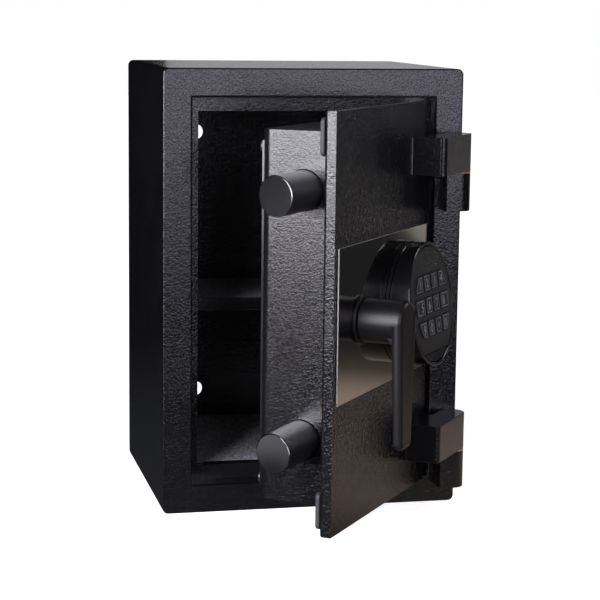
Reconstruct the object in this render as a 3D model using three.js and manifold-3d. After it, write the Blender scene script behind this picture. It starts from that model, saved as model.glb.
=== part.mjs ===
// A small steel medication safe with its door standing open on two outside hinges.
// Millimetres, +Z up, front towards -Y, +X to the viewer's right.
// The origin is the centre of the underside of the body.
import * as THREE from 'three';
import { mergeVertices } from 'three/addons/utils/BufferGeometryUtils.js';
import Module from 'manifold-3d';

const wasm = await Module();
wasm.setup();

// Body shell
const bodyWidth = 212;
const bodyHeight = 310;
const bodyDepth = 178;
const shellSheet = 3;
const shellCornerRadius = 4;
const frameSideBand = 20.5;
const frameEndBand = 20;
const frameReturnDepth = 14.5;
const frameReturnSheet = 3;
const seatGap = 0.3;

// Stop frame that the closed door meets, and what stands inside the body
const stopSheet = 3;
const stopLipSide = 6.8;
const stopLipEnd = 10;
const stopFlangeDepth = 6;
const stopFlangeSheet = 3;
const floorSheet = 2;
const anchorHoleRadius = 6;
const anchorHoleSpread = 108;
const anchorHoleLowZ = 52;
const anchorHoleRise = 203;
const shelfTopZ = 140.2;
const shelfSheet = 2;
const shelfLipHeight = 9.5;
const shelfSetback = 75.5;
const railLegWidth = 14;
const railLegHeight = 16;
const railSheet = 2;
const railFrontInset = 6;

// Hinges
const openAngle = THREE.MathUtils.degToRad(53.4);
const barrelRadius = 8.8;
const barrelClearance = 0.4;
const hingeAxisInset = 5.6;
const hingeBlockHeight = 26;
const hingeLowInset = 42;
const hingeTopInset = 70;
const bodyBlockReach = 10.4;
const doorBlockReach = 51.8;
const blockCornerRadius = 4;
const washerThickness = 1.2;
const pinRadius = 4;
const pinSocketDepth = 20;

// Door plate and its trim
const doorSetback = 6;
const doorThickness = 8;
const doorSideGap = 1.2;
const doorEndGap = 1;
const trimThickness = 1;
const trimFreeInset = 4.6;
const trimHingeInset = 2.4;
const trimDrop = 49.8;
const trimHeight = 99.5;
const padThickness = 3;
const padWidth = 14;
const padHeight = 24;
const padEdgeInset = 1;
const padEndInset = 4;

// Case of the boltwork on the back of the door
const caseSetback = 29.8;
const caseHingeSetback = 13.8;
const caseBottomSetback = 12;
const caseTopSetback = 14.5;
const caseDepth = 56.2;
const caseSheet = 2;
const caseCornerRadius = 6.4;
const caseFlange = 14;
const coverSheet = 1.5;
const coverSideInset = 5.5;
const coverEndInset = 7.5;
const coverScrewInset = 4;
const coverScrewHeadRadius = 4;
const coverScrewHeadHeight = 1.6;
const coverScrewShankRadius = 1.7;
const coverScrewLength = 7;

// Bolts and the plate that carries them
const boltRadius = 13;
const boltReachPastCase = 43.5;
const boltBevel = THREE.MathUtils.degToRad(14);
const boltTravel = 28.5;
const boltAxisDepth = 34.2;
const boltBottomInset = 41.9;
const boltTopInset = 37.7;
const boltLengthInCase = 32.7;
const boltHoleClearance = 0.6;
const boltPlateDepth = 16.2;
const boltPlateSheet = 4;
const boltPlateWidth = 40;
const boltPlateEndMargin = 14.9;
const boltFlangeSheet = 4;
const boltFlangeReach = 26;
const boltFlangeHeight = 26;
const boltPlateRecessReach = 18;
const slotWeb = 4;
const studShoulderRadius = 2.9;
const studHeadRadius = 5.5;
const studHeadHeight = 2.4;
const studClearance = 0.4;
const studEdgeInset = 6.1;
const studBelowSolenoid = 20;
const studAboveHandle = 50.2;

// Handle with its spindle and crank
const handleDrop = 0.2;
const crankWallGap = 1.4;
const handleTurn = THREE.MathUtils.degToRad(90);
const hubRadius = 14.2;
const rosetteRadius = 16;
const rosetteThickness = 2;
const hubLength = 30.1;
const leverThickness = 6.6;
const leverLength = 82;
const leverEndWidth = 19;
const leverEndRadius = 5;
const spindleRadius = 5;
const spindleClearance = 0.4;
const spindleSocketDepth = 18;
const crankSheet = 4;
const crankBossRadius = 9.5;
const crankArmHalfWidth = 5;
const crankRadius = 28.87;
const crankStartAngle = THREE.MathUtils.degToRad(30);
const crankPinRadius = 2;
const rollerRadius = 3.2;
const rollerClearance = 0.45;
const clipRadius = 7.5;
const clipThickness = 1;

// Solenoid lock
const plungerRadius = 4;
const plungerClearance = 0.4;
const plungerGap = 1.2;
const plungerLength = 22;
const plungerTravel = 8;
const plungerTipDepth = 21.6;
const solenoidDrop = 39.8;
const solenoidRadius = 9.5;
const solenoidLength = 26;
const bracketSheet = 2;
const bracketHeight = 22;
const bracketArmDepth = 22;
const bracketArmOverlap = 1.5;
const bracketRiserOffset = 26;
const bracketFootWidth = 12;

// Keypad
const keypadReach = 59;
const keypadDrop = 0.5;
const keypadRadius = 41.8;
const keypadWall = 2.5;
const keypadTilt = THREE.MathUtils.degToRad(7.6);
const keypadFaceHeight = 18.1;
const keypadBaseThickness = 2.2;
const facePlateThickness = 2;
const facePlateRecess = 0.4;
const keyPitch = 14.1;
const keyRowPitch = 15.2;
const keyWidth = 11.4;
const keyHeight = 11.8;
const keyFieldRadius = 31;
const keyClearance = 0.35;
const keyProud = 0.6;
const keyDepth = 3.2;
const lidEdgeInset = 10.3;
const lidThickness = 1;
const lidClearance = 0.6;
const lidSwingClearance = 0.7;
const lightOffset = 14;
const lightHeight = 25;
const lightRadius = 1.4;
const boardThickness = 1.4;
const boardDepth = 3.8;
const boardEdgeInset = 8.8;
const batteryWidth = 46;
const batteryHeight = 21.5;
const batteryThickness = 11;
const batteryEdgeInset = 10.8;
const leadRadius = 1.4;
const leadHoleRadius = 3;
const leadInset = 14;
const leadDrop = 4.5;
const leadBackDepth = 41;
const leadStraight = 12;
const leadBend = 10;

// Facets of the round shapes
const fineSegments = 40;
const roundSegments = 28;
const smallSegments = 16;
const cornerSegments = 4;

// Places worked out from the sizes above
const frontY = -bodyDepth / 2;
const backY = bodyDepth / 2;
const openingWidth = bodyWidth - 2 * frameSideBand;
const openingHeight = bodyHeight - 2 * frameEndBand;
const openingMidZ = bodyHeight / 2;
const stopFaceY = frontY + shellSheet + frameReturnDepth;
const stopBackY = stopFaceY + stopSheet + stopFlangeDepth;
const lipWidth = openingWidth - 2 * stopLipSide;
const lipHeight = openingHeight - 2 * stopLipEnd;
const floorTopZ = frameEndBand + stopLipEnd;
const innerHalfWidth = bodyWidth / 2 - shellSheet;
const innerBackY = backY - shellSheet;
const hingeX = bodyWidth / 2 - hingeAxisInset;
const hingeY = frontY - barrelRadius - barrelClearance;
const doorFrontY = frontY + doorSetback;
const doorFaceOffset = doorFrontY - hingeY;
const doorFreeReach = hingeX + openingWidth / 2 - doorSideGap;
const doorHingeReach = hingeX - openingWidth / 2 + doorSideGap;
const doorBottomZ = frameEndBand + doorEndGap;
const doorTopZ = bodyHeight - frameEndBand - doorEndGap;
const caseFreeReach = doorFreeReach - caseSetback;
const caseHingeReach = doorHingeReach + caseHingeSetback;
const caseWidth = caseFreeReach - caseHingeReach;
const caseBottomZ = doorBottomZ + caseBottomSetback;
const caseTopZ = doorTopZ - caseTopSetback;
const caseHeight = caseTopZ - caseBottomZ;
const hingeLowZ = hingeLowInset;
const hingeHighZ = bodyHeight - hingeTopInset;
const boltLowZ = caseBottomZ + boltBottomInset;
const boltHighZ = caseTopZ - boltTopInset;
const handleReach = caseFreeReach - caseSheet - crankBossRadius - crankWallGap;
const handleZ = openingMidZ - handleDrop;
const trimBottomZ = handleZ - trimDrop;
const solenoidZ = handleZ - solenoidDrop;
const studLowZ = solenoidZ - studBelowSolenoid;
const studHighZ = handleZ + studAboveHandle;
const keypadZ = openingMidZ - keypadDrop;
const leadReach = keypadReach - leadInset;
const leadZ = keypadZ - leadDrop;
const caseMidReach = (caseFreeReach + caseHingeReach) / 2;
const caseMidZ = caseBottomZ + caseHeight / 2;
const caseBackDepth = doorThickness + caseDepth;
const boltTipReach = caseFreeReach + boltReachPastCase;
const boltRootReach = caseFreeReach - boltLengthInCase;
const boltPlateFreeReach = boltRootReach - seatGap;
const boltPlateHingeReach = boltPlateFreeReach - boltPlateWidth;
const studReach = boltPlateHingeReach + studEdgeInset;
const plungerReach = boltPlateHingeReach + boltPlateRecessReach - plungerGap - plungerRadius;
const crankDepth = doorThickness + 1;
const spindleEndDepth = crankDepth + crankSheet + seatGap + clipThickness;
const trimFace = -seatGap - trimThickness;
const rosetteBack = trimFace - seatGap;
const hubBack = rosetteBack - rosetteThickness - seatGap;
const hubFront = hubBack - hubLength;
const keypadBaseBack = trimFace - seatGap;
const keypadBaseFront = keypadBaseBack - keypadBaseThickness;
const keypadFaceMid = keypadBaseBack - keypadFaceHeight;
const facePlateRadius = keypadRadius - keypadWall - seatGap;
const lidChord = keypadRadius - lidEdgeInset;
const boardRadius = keypadRadius - boardEdgeInset;
const batteryDrop = keypadRadius - batteryEdgeInset;

// Finishes
const hammerPaint = () => new THREE.MeshStandardMaterial({ color: 0x2b2b30, roughness: 0.42, metalness: 0.25 });
const mirrorPlate = () => new THREE.MeshStandardMaterial({ color: 0x5c5754, roughness: 0.08, metalness: 1 });
const satinBlack = () => new THREE.MeshStandardMaterial({ color: 0x242427, roughness: 0.35, metalness: 0.4 });
const boltSteel = () => new THREE.MeshStandardMaterial({ color: 0x4a4a4e, roughness: 0.3, metalness: 1 });
const zincSteel = () => new THREE.MeshStandardMaterial({ color: 0xb4b6b8, roughness: 0.35, metalness: 1 });
const brass = () => new THREE.MeshStandardMaterial({ color: 0xb08d4a, roughness: 0.3, metalness: 1 });
const keypadPlastic = () => new THREE.MeshStandardMaterial({ color: 0x1b1b1e, roughness: 0.4, metalness: 0 });
const keyRubber = () => new THREE.MeshStandardMaterial({ color: 0x26262a, roughness: 0.6, metalness: 0 });
const padRubber = () => new THREE.MeshStandardMaterial({ color: 0x55555a, roughness: 0.7, metalness: 0 });
const circuitBoard = () => new THREE.MeshStandardMaterial({ color: 0x1f5a36, roughness: 0.6, metalness: 0 });
const cellWrap = () => new THREE.MeshStandardMaterial({ color: 0x35383d, roughness: 0.5, metalness: 0 });
const leadSleeve = () => new THREE.MeshStandardMaterial({ color: 0x3a3a3d, roughness: 0.6, metalness: 0 });
const lightLens = () => new THREE.MeshStandardMaterial({ color: 0x6d2a28, roughness: 0.3, metalness: 0 });

// Solids: closed geometry in, joined or cut, and geometry out again
function toSolid(geometry) {
  const bare = geometry.clone();
  bare.deleteAttribute('normal');
  bare.deleteAttribute('uv');
  const welded = mergeVertices(bare, 1e-4);
  return new wasm.Manifold(new wasm.Mesh({
    numProp: 3,
    vertProperties: new Float32Array(welded.attributes.position.array),
    triVerts: new Uint32Array(welded.index.array),
  }));
}

function toGeometry(solid) {
  const mesh = solid.getMesh();
  const positions = [];
  for (let i = 0; i < mesh.vertProperties.length; i += mesh.numProp) {
    positions.push(mesh.vertProperties[i], mesh.vertProperties[i + 1], mesh.vertProperties[i + 2]);
  }
  const geometry = new THREE.BufferGeometry();
  geometry.setAttribute('position', new THREE.Float32BufferAttribute(positions, 3));
  geometry.setIndex(Array.from(mesh.triVerts));
  geometry.computeVertexNormals();
  return geometry;
}

function cut(body, ...tools) {
  let solid = toSolid(body);
  for (const tool of tools) solid = solid.subtract(toSolid(tool));
  return toGeometry(solid);
}

function join(body, ...others) {
  let solid = toSolid(body);
  for (const other of others) solid = solid.add(toSolid(other));
  return toGeometry(solid);
}

// Flat outlines
function roundedRect(width, height, radius, midX = 0, midY = 0) {
  const left = midX - width / 2;
  const right = midX + width / 2;
  const low = midY - height / 2;
  const high = midY + height / 2;
  const shape = new THREE.Shape();
  shape.moveTo(left + radius, low);
  shape.lineTo(right - radius, low);
  shape.absarc(right - radius, low + radius, radius, -Math.PI / 2, 0, false);
  shape.lineTo(right, high - radius);
  shape.absarc(right - radius, high - radius, radius, 0, Math.PI / 2, false);
  shape.lineTo(left + radius, high);
  shape.absarc(left + radius, high - radius, radius, Math.PI / 2, Math.PI, false);
  shape.lineTo(left, low + radius);
  shape.absarc(left + radius, low + radius, radius, Math.PI, Math.PI * 1.5, false);
  return shape;
}

function rect(width, height, midX = 0, midY = 0) {
  return polygon([
    [midX - width / 2, midY - height / 2],
    [midX + width / 2, midY - height / 2],
    [midX + width / 2, midY + height / 2],
    [midX - width / 2, midY + height / 2],
  ]);
}

function polygon(points) {
  return new THREE.Shape(points.map(([x, y]) => new THREE.Vector2(x, y)));
}

function circle(radius, midX = 0, midY = 0) {
  const shape = new THREE.Shape();
  shape.absarc(midX, midY, radius, 0, Math.PI * 2, false);
  return shape;
}

function withHoles(shape, ...holes) {
  shape.holes.push(...holes);
  return shape;
}

// Extrusions of an outline: drawn in XY, in XZ or in YZ
function alongZ(shape, z0, z1, segments = cornerSegments) {
  const options = { depth: z1 - z0, bevelEnabled: false, curveSegments: segments };
  const geometry = new THREE.ExtrudeGeometry(shape, options);
  geometry.translate(0, 0, z0);
  return geometry;
}

function alongY(shape, y0, y1, segments = cornerSegments) {
  const geometry = alongZ(shape, 0, y1 - y0, segments);
  geometry.rotateX(Math.PI / 2);
  geometry.translate(0, y1, 0);
  return geometry;
}

function alongX(shape, x0, x1, segments = cornerSegments) {
  const geometry = alongZ(shape, 0, x1 - x0, segments);
  const turn = new THREE.Matrix4().makeBasis(
    new THREE.Vector3(0, 1, 0),
    new THREE.Vector3(0, 0, 1),
    new THREE.Vector3(1, 0, 0),
  );
  geometry.applyMatrix4(turn);
  geometry.translate(x0, 0, 0);
  return geometry;
}

function box(x0, x1, y0, y1, z0, z1) {
  const geometry = new THREE.BoxGeometry(x1 - x0, y1 - y0, z1 - z0);
  geometry.translate((x0 + x1) / 2, (y0 + y1) / 2, (z0 + z1) / 2);
  return geometry;
}

function rodY(radius, x, z, y0, y1, segments = roundSegments) {
  const geometry = new THREE.CylinderGeometry(radius, radius, y1 - y0, segments);
  geometry.translate(x, (y0 + y1) / 2, z);
  return geometry;
}

function rodX(radius, y, z, x0, x1, segments = roundSegments) {
  const geometry = new THREE.CylinderGeometry(radius, radius, x1 - x0, segments);
  geometry.rotateZ(Math.PI / 2);
  geometry.translate((x0 + x1) / 2, y, z);
  return geometry;
}

function rodZ(radius, x, y, z0, z1, segments = roundSegments) {
  const geometry = new THREE.CylinderGeometry(radius, radius, z1 - z0, segments);
  geometry.rotateX(Math.PI / 2);
  geometry.translate(x, y, (z0 + z1) / 2);
  return geometry;
}

// Groups: the body stands still, and the door's group turns about the hinge axis.
// In the door's group x runs from the hinge axis (0) to the free edge (negative),
// y is the depth behind the door's front face and z is the height.
const safe = new THREE.Group();
const doorTurn = new THREE.Group();
doorTurn.position.set(hingeX, hingeY, 0);
doorTurn.rotation.z = openAngle;
safe.add(doorTurn);
const door = new THREE.Group();
door.position.set(0, doorFaceOffset, 0);
doorTurn.add(door);
const keypadFace = new THREE.Group();
keypadFace.position.set(-keypadReach, keypadFaceMid, keypadZ);
keypadFace.rotation.x = -keypadTilt;
door.add(keypadFace);

function addPart(group, name, geometry, material) {
  const mesh = new THREE.Mesh(geometry, material);
  mesh.name = name;
  group.add(mesh);
}

// Body shell
function bodyWrap() {
  const outer = roundedRect(bodyWidth, bodyHeight, shellCornerRadius, 0, bodyHeight / 2);
  const innerRadius = shellCornerRadius - shellSheet;
  const innerWidth = bodyWidth - 2 * shellSheet;
  const innerHeight = bodyHeight - 2 * shellSheet;
  const inner = roundedRect(innerWidth, innerHeight, innerRadius, 0, bodyHeight / 2);
  return alongY(withHoles(outer, inner), frontY + shellSheet, innerBackY);
}

function backPanel() {
  const outline = roundedRect(bodyWidth, bodyHeight, shellCornerRadius, 0, bodyHeight / 2);
  const holes = [];
  for (const side of [-1, 1]) {
    for (const rise of [0, anchorHoleRise]) {
      holes.push(circle(anchorHoleRadius, side * anchorHoleSpread / 2, anchorHoleLowZ + rise));
    }
  }
  return alongY(withHoles(outline, ...holes), innerBackY, backY, smallSegments / 2);
}

function frontFrame() {
  const outline = roundedRect(bodyWidth, bodyHeight, shellCornerRadius, 0, bodyHeight / 2);
  const opening = rect(openingWidth, openingHeight, 0, openingMidZ);
  const band = alongY(withHoles(outline, opening), frontY, frontY + shellSheet);
  const returnOuter = rect(
    openingWidth + 2 * frameReturnSheet,
    openingHeight + 2 * frameReturnSheet,
    0,
    openingMidZ,
  );
  const returnInner = rect(openingWidth, openingHeight, 0, openingMidZ);
  const returns = alongY(withHoles(returnOuter, returnInner), frontY + shellSheet / 2, stopFaceY);
  return join(band, returns);
}

function stopFrame() {
  const outerWidth = 2 * (innerHalfWidth - seatGap);
  const outerHeight = bodyHeight - 2 * (shellSheet + seatGap);
  const face = withHoles(
    roundedRect(outerWidth, outerHeight, shellCornerRadius - shellSheet, 0, openingMidZ),
    rect(lipWidth, lipHeight, 0, openingMidZ),
  );
  const flange = withHoles(
    rect(lipWidth + 2 * stopFlangeSheet, lipHeight + 2 * stopFlangeSheet, 0, openingMidZ),
    rect(lipWidth, lipHeight, 0, openingMidZ),
  );
  const plate = alongY(face, stopFaceY, stopFaceY + stopSheet);
  return join(plate, alongY(flange, stopFaceY + stopSheet / 2, stopBackY));
}

function floorPan() {
  const half = innerHalfWidth - seatGap;
  const foot = shellSheet + seatGap;
  const outline = polygon([
    [-half, foot],
    [-half + floorSheet, foot],
    [-half + floorSheet, floorTopZ - floorSheet],
    [half - floorSheet, floorTopZ - floorSheet],
    [half - floorSheet, foot],
    [half, foot],
    [half, floorTopZ],
    [-half, floorTopZ],
  ]);
  return alongY(outline, stopBackY + seatGap, innerBackY - seatGap);
}

function shelf() {
  const nose = frontY + shelfSetback;
  const rear = innerBackY - seatGap;
  const outline = polygon([
    [nose, shelfTopZ - shelfLipHeight],
    [nose + shelfSheet, shelfTopZ - shelfLipHeight],
    [nose + shelfSheet, shelfTopZ - shelfSheet],
    [rear, shelfTopZ - shelfSheet],
    [rear, shelfTopZ],
    [nose, shelfTopZ],
  ]);
  return alongX(outline, -innerHalfWidth + seatGap, innerHalfWidth - seatGap);
}

function shelfRail(side) {
  const wallX = side * innerHalfWidth;
  const topZ = shelfTopZ - shelfSheet;
  const outline = polygon([
    [wallX, topZ],
    [wallX - side * railLegWidth, topZ],
    [wallX - side * railLegWidth, topZ - railSheet],
    [wallX - side * railSheet, topZ - railSheet],
    [wallX - side * railSheet, topZ - railLegHeight],
    [wallX, topZ - railLegHeight],
  ]);
  const railFront = frontY + shelfSetback + railFrontInset;
  return alongY(outline, railFront, innerBackY - seatGap);
}

// Hinges: a door block turns on a brass washer above a body block, about one pin
const hingeSockets = [
  ['upper', hingeHighZ],
  ['lower', hingeLowZ],
];
const bodyBlockTop = (blockZ) => blockZ - washerThickness - 2 * seatGap;

function bodyHingeBlock(blockZ) {
  const shape = new THREE.Shape();
  shape.moveTo(hingeX - bodyBlockReach, frontY);
  shape.lineTo(hingeX - bodyBlockReach, hingeY - barrelRadius);
  shape.lineTo(hingeX, hingeY - barrelRadius);
  shape.absarc(hingeX, hingeY, barrelRadius, -Math.PI / 2, Math.PI / 2, false);
  shape.lineTo(hingeX, frontY);
  const top = bodyBlockTop(blockZ);
  const block = alongZ(shape, top - hingeBlockHeight, top, smallSegments / 2);
  const boreRadius = pinRadius + seatGap;
  return cut(block, rodZ(boreRadius, hingeX, hingeY, top - pinSocketDepth, top + 1, smallSegments));
}

function doorHingeBlock(blockZ) {
  const outerY = hingeY - barrelRadius - doorFrontY;
  const barrelY = hingeY - doorFrontY;
  const doorX = -doorHingeReach;
  const shape = new THREE.Shape();
  shape.moveTo(-doorBlockReach, -seatGap);
  shape.lineTo(-doorBlockReach, outerY + blockCornerRadius);
  shape.absarc(
    -doorBlockReach + blockCornerRadius,
    outerY + blockCornerRadius,
    blockCornerRadius,
    Math.PI,
    Math.PI * 1.5,
    false,
  );
  shape.lineTo(0, outerY);
  shape.absarc(0, barrelY, barrelRadius, -Math.PI / 2, Math.PI / 2, false);
  shape.lineTo(doorX, barrelY + barrelRadius);
  shape.lineTo(doorX, -seatGap);
  const block = alongZ(shape, blockZ, blockZ + hingeBlockHeight, smallSegments / 2);
  const boreRadius = pinRadius + seatGap;
  return cut(block, rodZ(boreRadius, 0, barrelY, blockZ - 1, blockZ + pinSocketDepth, smallSegments));
}

function hingePin(blockZ) {
  const bottom = bodyBlockTop(blockZ) - pinSocketDepth + seatGap;
  const top = blockZ + pinSocketDepth - seatGap;
  return rodZ(pinRadius, hingeX, hingeY, bottom, top, smallSegments);
}

function hingeWasher(blockZ) {
  const ring = withHoles(circle(barrelRadius, hingeX, hingeY), circle(pinRadius + seatGap, hingeX, hingeY));
  const bottom = bodyBlockTop(blockZ) + seatGap;
  return alongZ(ring, bottom, bottom + washerThickness, smallSegments / 2);
}

// Door plate, trim and stop pads
function doorPlate() {
  const width = doorFreeReach - doorHingeReach;
  const height = doorTopZ - doorBottomZ;
  const midX = -(doorFreeReach + doorHingeReach) / 2;
  const outline = withHoles(
    rect(width, height, midX, openingMidZ),
    circle(spindleRadius + spindleClearance, -handleReach, handleZ),
    circle(leadHoleRadius, -leadReach, leadZ),
  );
  return alongY(outline, 0, doorThickness, smallSegments / 2);
}

function trimPlate() {
  const freeX = -doorFreeReach + trimFreeInset;
  const hingeSideX = -doorHingeReach - trimHingeInset;
  const outline = withHoles(
    rect(hingeSideX - freeX, trimHeight, (freeX + hingeSideX) / 2, trimBottomZ + trimHeight / 2),
    circle(spindleRadius + spindleClearance, -handleReach, handleZ),
    circle(leadHoleRadius, -leadReach, leadZ),
  );
  return alongY(outline, trimFace, -seatGap, smallSegments / 2);
}

function doorPad(topZ) {
  const midX = -doorFreeReach + padEdgeInset + padWidth / 2;
  const outline = roundedRect(padWidth, padHeight, padWidth / 4, midX, topZ - padHeight / 2);
  return alongY(outline, doorThickness + seatGap, doorThickness + padThickness + seatGap, smallSegments / 2);
}

// Boltwork case: four walls, with flanges at the back that the cover is screwed to
function boltCase() {
  const inner = (inset) => rect(caseWidth - 2 * inset, caseHeight - 2 * inset, -caseMidReach, caseMidZ);
  const walls = alongY(withHoles(caseOutline(), inner(caseSheet)), doorThickness + seatGap, caseBackDepth);
  const flange = alongY(
    withHoles(inner(caseSheet / 2), inner(caseFlange)),
    caseBackDepth - caseSheet,
    caseBackDepth,
  );
  const tools = [];
  for (const z of [boltLowZ, boltHighZ]) {
    const x = -caseFreeReach;
    const radius = boltRadius + boltHoleClearance;
    tools.push(rodX(radius, boltAxisDepth, z, x - 1, x + caseSheet + 1, fineSegments));
  }
  for (const [x, z] of coverScrewPlaces()) {
    const radius = coverScrewShankRadius + seatGap;
    tools.push(rodY(radius, x, z, caseBackDepth - caseSheet - 1, caseBackDepth + 1, smallSegments));
  }
  tools.push(caseCornerCut(-caseFreeReach, -1), caseCornerCut(-caseHingeReach, 1));
  return cut(join(walls, flange), ...tools);
}

function caseOutline() {
  return rect(caseWidth, caseHeight, -caseMidReach, caseMidZ);
}

// The sliver outside the rounded rear corner, along the whole height of the case
function caseCornerCut(edgeX, side) {
  const shape = new THREE.Shape();
  const midX = edgeX - side * caseCornerRadius;
  const midY = caseBackDepth - caseCornerRadius;
  shape.moveTo(edgeX + side, midY);
  shape.lineTo(edgeX, midY);
  for (let step = 1; step <= smallSegments / 2; step += 1) {
    const angle = (step / smallSegments) * Math.PI;
    shape.lineTo(midX + side * caseCornerRadius * Math.cos(angle), midY + caseCornerRadius * Math.sin(angle));
  }
  shape.lineTo(midX, caseBackDepth + 1);
  shape.lineTo(edgeX + side, caseBackDepth + 1);
  return alongZ(shape, caseBottomZ - 1, caseTopZ + 1);
}

function coverScrewPlaces() {
  const places = [];
  const sideInset = coverSideInset + coverScrewInset;
  const endInset = coverEndInset + coverScrewInset;
  for (const x of [-caseFreeReach + sideInset, -caseHingeReach - sideInset]) {
    for (const z of [caseBottomZ + endInset, caseTopZ - endInset]) places.push([x, z]);
  }
  return places;
}

function caseCover() {
  const outline = withHoles(
    rect(caseWidth - 2 * coverSideInset, caseHeight - 2 * coverEndInset, -caseMidReach, caseMidZ),
    ...coverScrewPlaces().map(([x, z]) => circle(coverScrewShankRadius + seatGap, x, z)),
  );
  return alongY(outline, caseBackDepth + seatGap, caseBackDepth + seatGap + coverSheet, smallSegments / 2);
}

function coverScrew([x, z]) {
  const headBack = caseBackDepth + 2 * seatGap + coverSheet;
  const head = rodY(coverScrewHeadRadius, x, z, headBack, headBack + coverScrewHeadHeight, smallSegments);
  const shank = rodY(coverScrewShankRadius, x, z, headBack - coverScrewLength, headBack + 1, smallSegments);
  return join(head, shank);
}

// Bolts, the plate that carries them and its guide studs
function bolt(z) {
  const tilt = Math.tan(boltBevel);
  const longest = boltTipReach + boltRadius * tilt;
  const profile = [
    new THREE.Vector2(0, boltRootReach),
    new THREE.Vector2(boltRadius, boltRootReach),
    new THREE.Vector2(boltRadius, longest + 1),
    new THREE.Vector2(0, longest + 1),
  ];
  const rod = new THREE.LatheGeometry(profile, fineSegments);
  rod.rotateZ(Math.PI / 2);
  rod.translate(0, boltAxisDepth, z);
  const bevel = polygon([
    [-boltTipReach - boltRadius * tilt * 2, boltAxisDepth - 2 * boltRadius],
    [-boltTipReach + boltRadius * tilt * 2, boltAxisDepth + 2 * boltRadius],
    [-boltTipReach - 3 * boltRadius, boltAxisDepth + 2 * boltRadius],
    [-boltTipReach - 3 * boltRadius, boltAxisDepth - 2 * boltRadius],
  ]);
  return cut(rod, alongZ(bevel, z - 2 * boltRadius, z + 2 * boltRadius));
}

const camRate = boltTravel / handleTurn;
const crankX = crankRadius * Math.sin(crankStartAngle);
const crankZ = crankRadius * Math.cos(crankStartAngle);

// Outline of the cam slot: the crank pin's path over the plate, widened to the roller
function camSlot() {
  const half = rollerRadius + rollerClearance;
  const steps = 14;
  const ahead = [];
  const behind = [];
  for (let step = 0; step <= steps; step += 1) {
    const turn = (step / steps) * handleTurn;
    const x = crankRadius * Math.sin(crankStartAngle + turn) - camRate * turn;
    const z = crankRadius * Math.cos(crankStartAngle + turn);
    const dx = crankRadius * Math.cos(crankStartAngle + turn) - camRate;
    const dz = -crankRadius * Math.sin(crankStartAngle + turn);
    const length = Math.hypot(dx, dz);
    const normal = [-dz / length * half, dx / length * half];
    ahead.push([x + normal[0], z + normal[1]]);
    behind.unshift([x - normal[0], z - normal[1]]);
  }
  const capStart = capPoints(ahead[0], behind[behind.length - 1], 1);
  const capEnd = capPoints(behind[0], ahead[ahead.length - 1], 1);
  return polygon(
    [...ahead, ...capEnd.reverse(), ...behind, ...capStart.reverse()]
      .map(([x, z]) => [x - handleReach, z + handleZ]),
  );
}

// Points of the half circle between two edge points of a slot, around its end
function capPoints([fromX, fromZ], [toX, toZ], side) {
  const midX = (fromX + toX) / 2;
  const midZ = (fromZ + toZ) / 2;
  const radius = Math.hypot(fromX - midX, fromZ - midZ);
  const start = Math.atan2(fromZ - midZ, fromX - midX);
  const points = [];
  for (let step = 1; step < 6; step += 1) {
    const angle = start + side * Math.PI * step / 6;
    points.push([midX + radius * Math.cos(angle), midZ + radius * Math.sin(angle)]);
  }
  return points;
}

function studSlot(z) {
  const half = studShoulderRadius + studClearance;
  return roundedRect(boltTravel + 2 * half, 2 * half, half - 0.01, -studReach - boltTravel / 2, z);
}

function boltPlate() {
  const bottom = boltLowZ - boltPlateEndMargin;
  const top = boltHighZ + boltPlateEndMargin;
  const freeX = -boltPlateFreeReach;
  const hingeSideX = -boltPlateHingeReach;
  const slotHalf = rollerRadius + rollerClearance;
  const camEndX = crankZ - boltTravel;
  const tongueX = camEndX - slotHalf - slotWeb * 0.75 - handleReach;
  const tongueLow = handleZ - crankX - slotHalf - slotWeb;
  const tongueHigh = handleZ + crankZ + slotHalf + slotWeb;
  const recessX = hingeSideX - boltPlateRecessReach;
  const recessHalf = bracketHeight / 2 + 2;
  const outline = withHoles(
    polygon([
      [freeX, bottom],
      [hingeSideX, bottom],
      [hingeSideX, solenoidZ - recessHalf],
      [recessX, solenoidZ - recessHalf],
      [recessX, solenoidZ + recessHalf],
      [hingeSideX, solenoidZ + recessHalf],
      [hingeSideX, top],
      [freeX, top],
      [freeX, tongueHigh],
      [tongueX, tongueHigh],
      [tongueX, tongueLow],
      [freeX, tongueLow],
    ]),
    camSlot(),
    studSlot(studLowZ),
    studSlot(studHighZ),
  );
  const plate = alongY(outline, boltPlateDepth, boltPlateDepth + boltPlateSheet, smallSegments / 2);
  const flanges = [boltLowZ, boltHighZ].map((z) => box(
    freeX,
    freeX + boltFlangeSheet,
    boltPlateDepth + boltPlateSheet / 2,
    boltPlateDepth + boltPlateSheet + boltFlangeReach,
    z - boltFlangeHeight / 2,
    z + boltFlangeHeight / 2,
  ));
  return join(plate, ...flanges);
}

function guideStud(z) {
  const foot = doorThickness + seatGap;
  const plateFront = boltPlateDepth - seatGap;
  const plateBack = boltPlateDepth + boltPlateSheet + seatGap;
  const profile = [
    [0, foot],
    [studHeadRadius, foot],
    [studHeadRadius, plateFront],
    [studShoulderRadius, plateFront],
    [studShoulderRadius, plateBack],
    [studHeadRadius, plateBack],
    [studHeadRadius, plateBack + studHeadHeight],
    [0, plateBack + studHeadHeight],
  ].map(([radius, depth]) => new THREE.Vector2(radius, depth));
  const stud = new THREE.LatheGeometry(profile, smallSegments);
  stud.translate(-studReach, 0, z);
  return stud;
}

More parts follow.
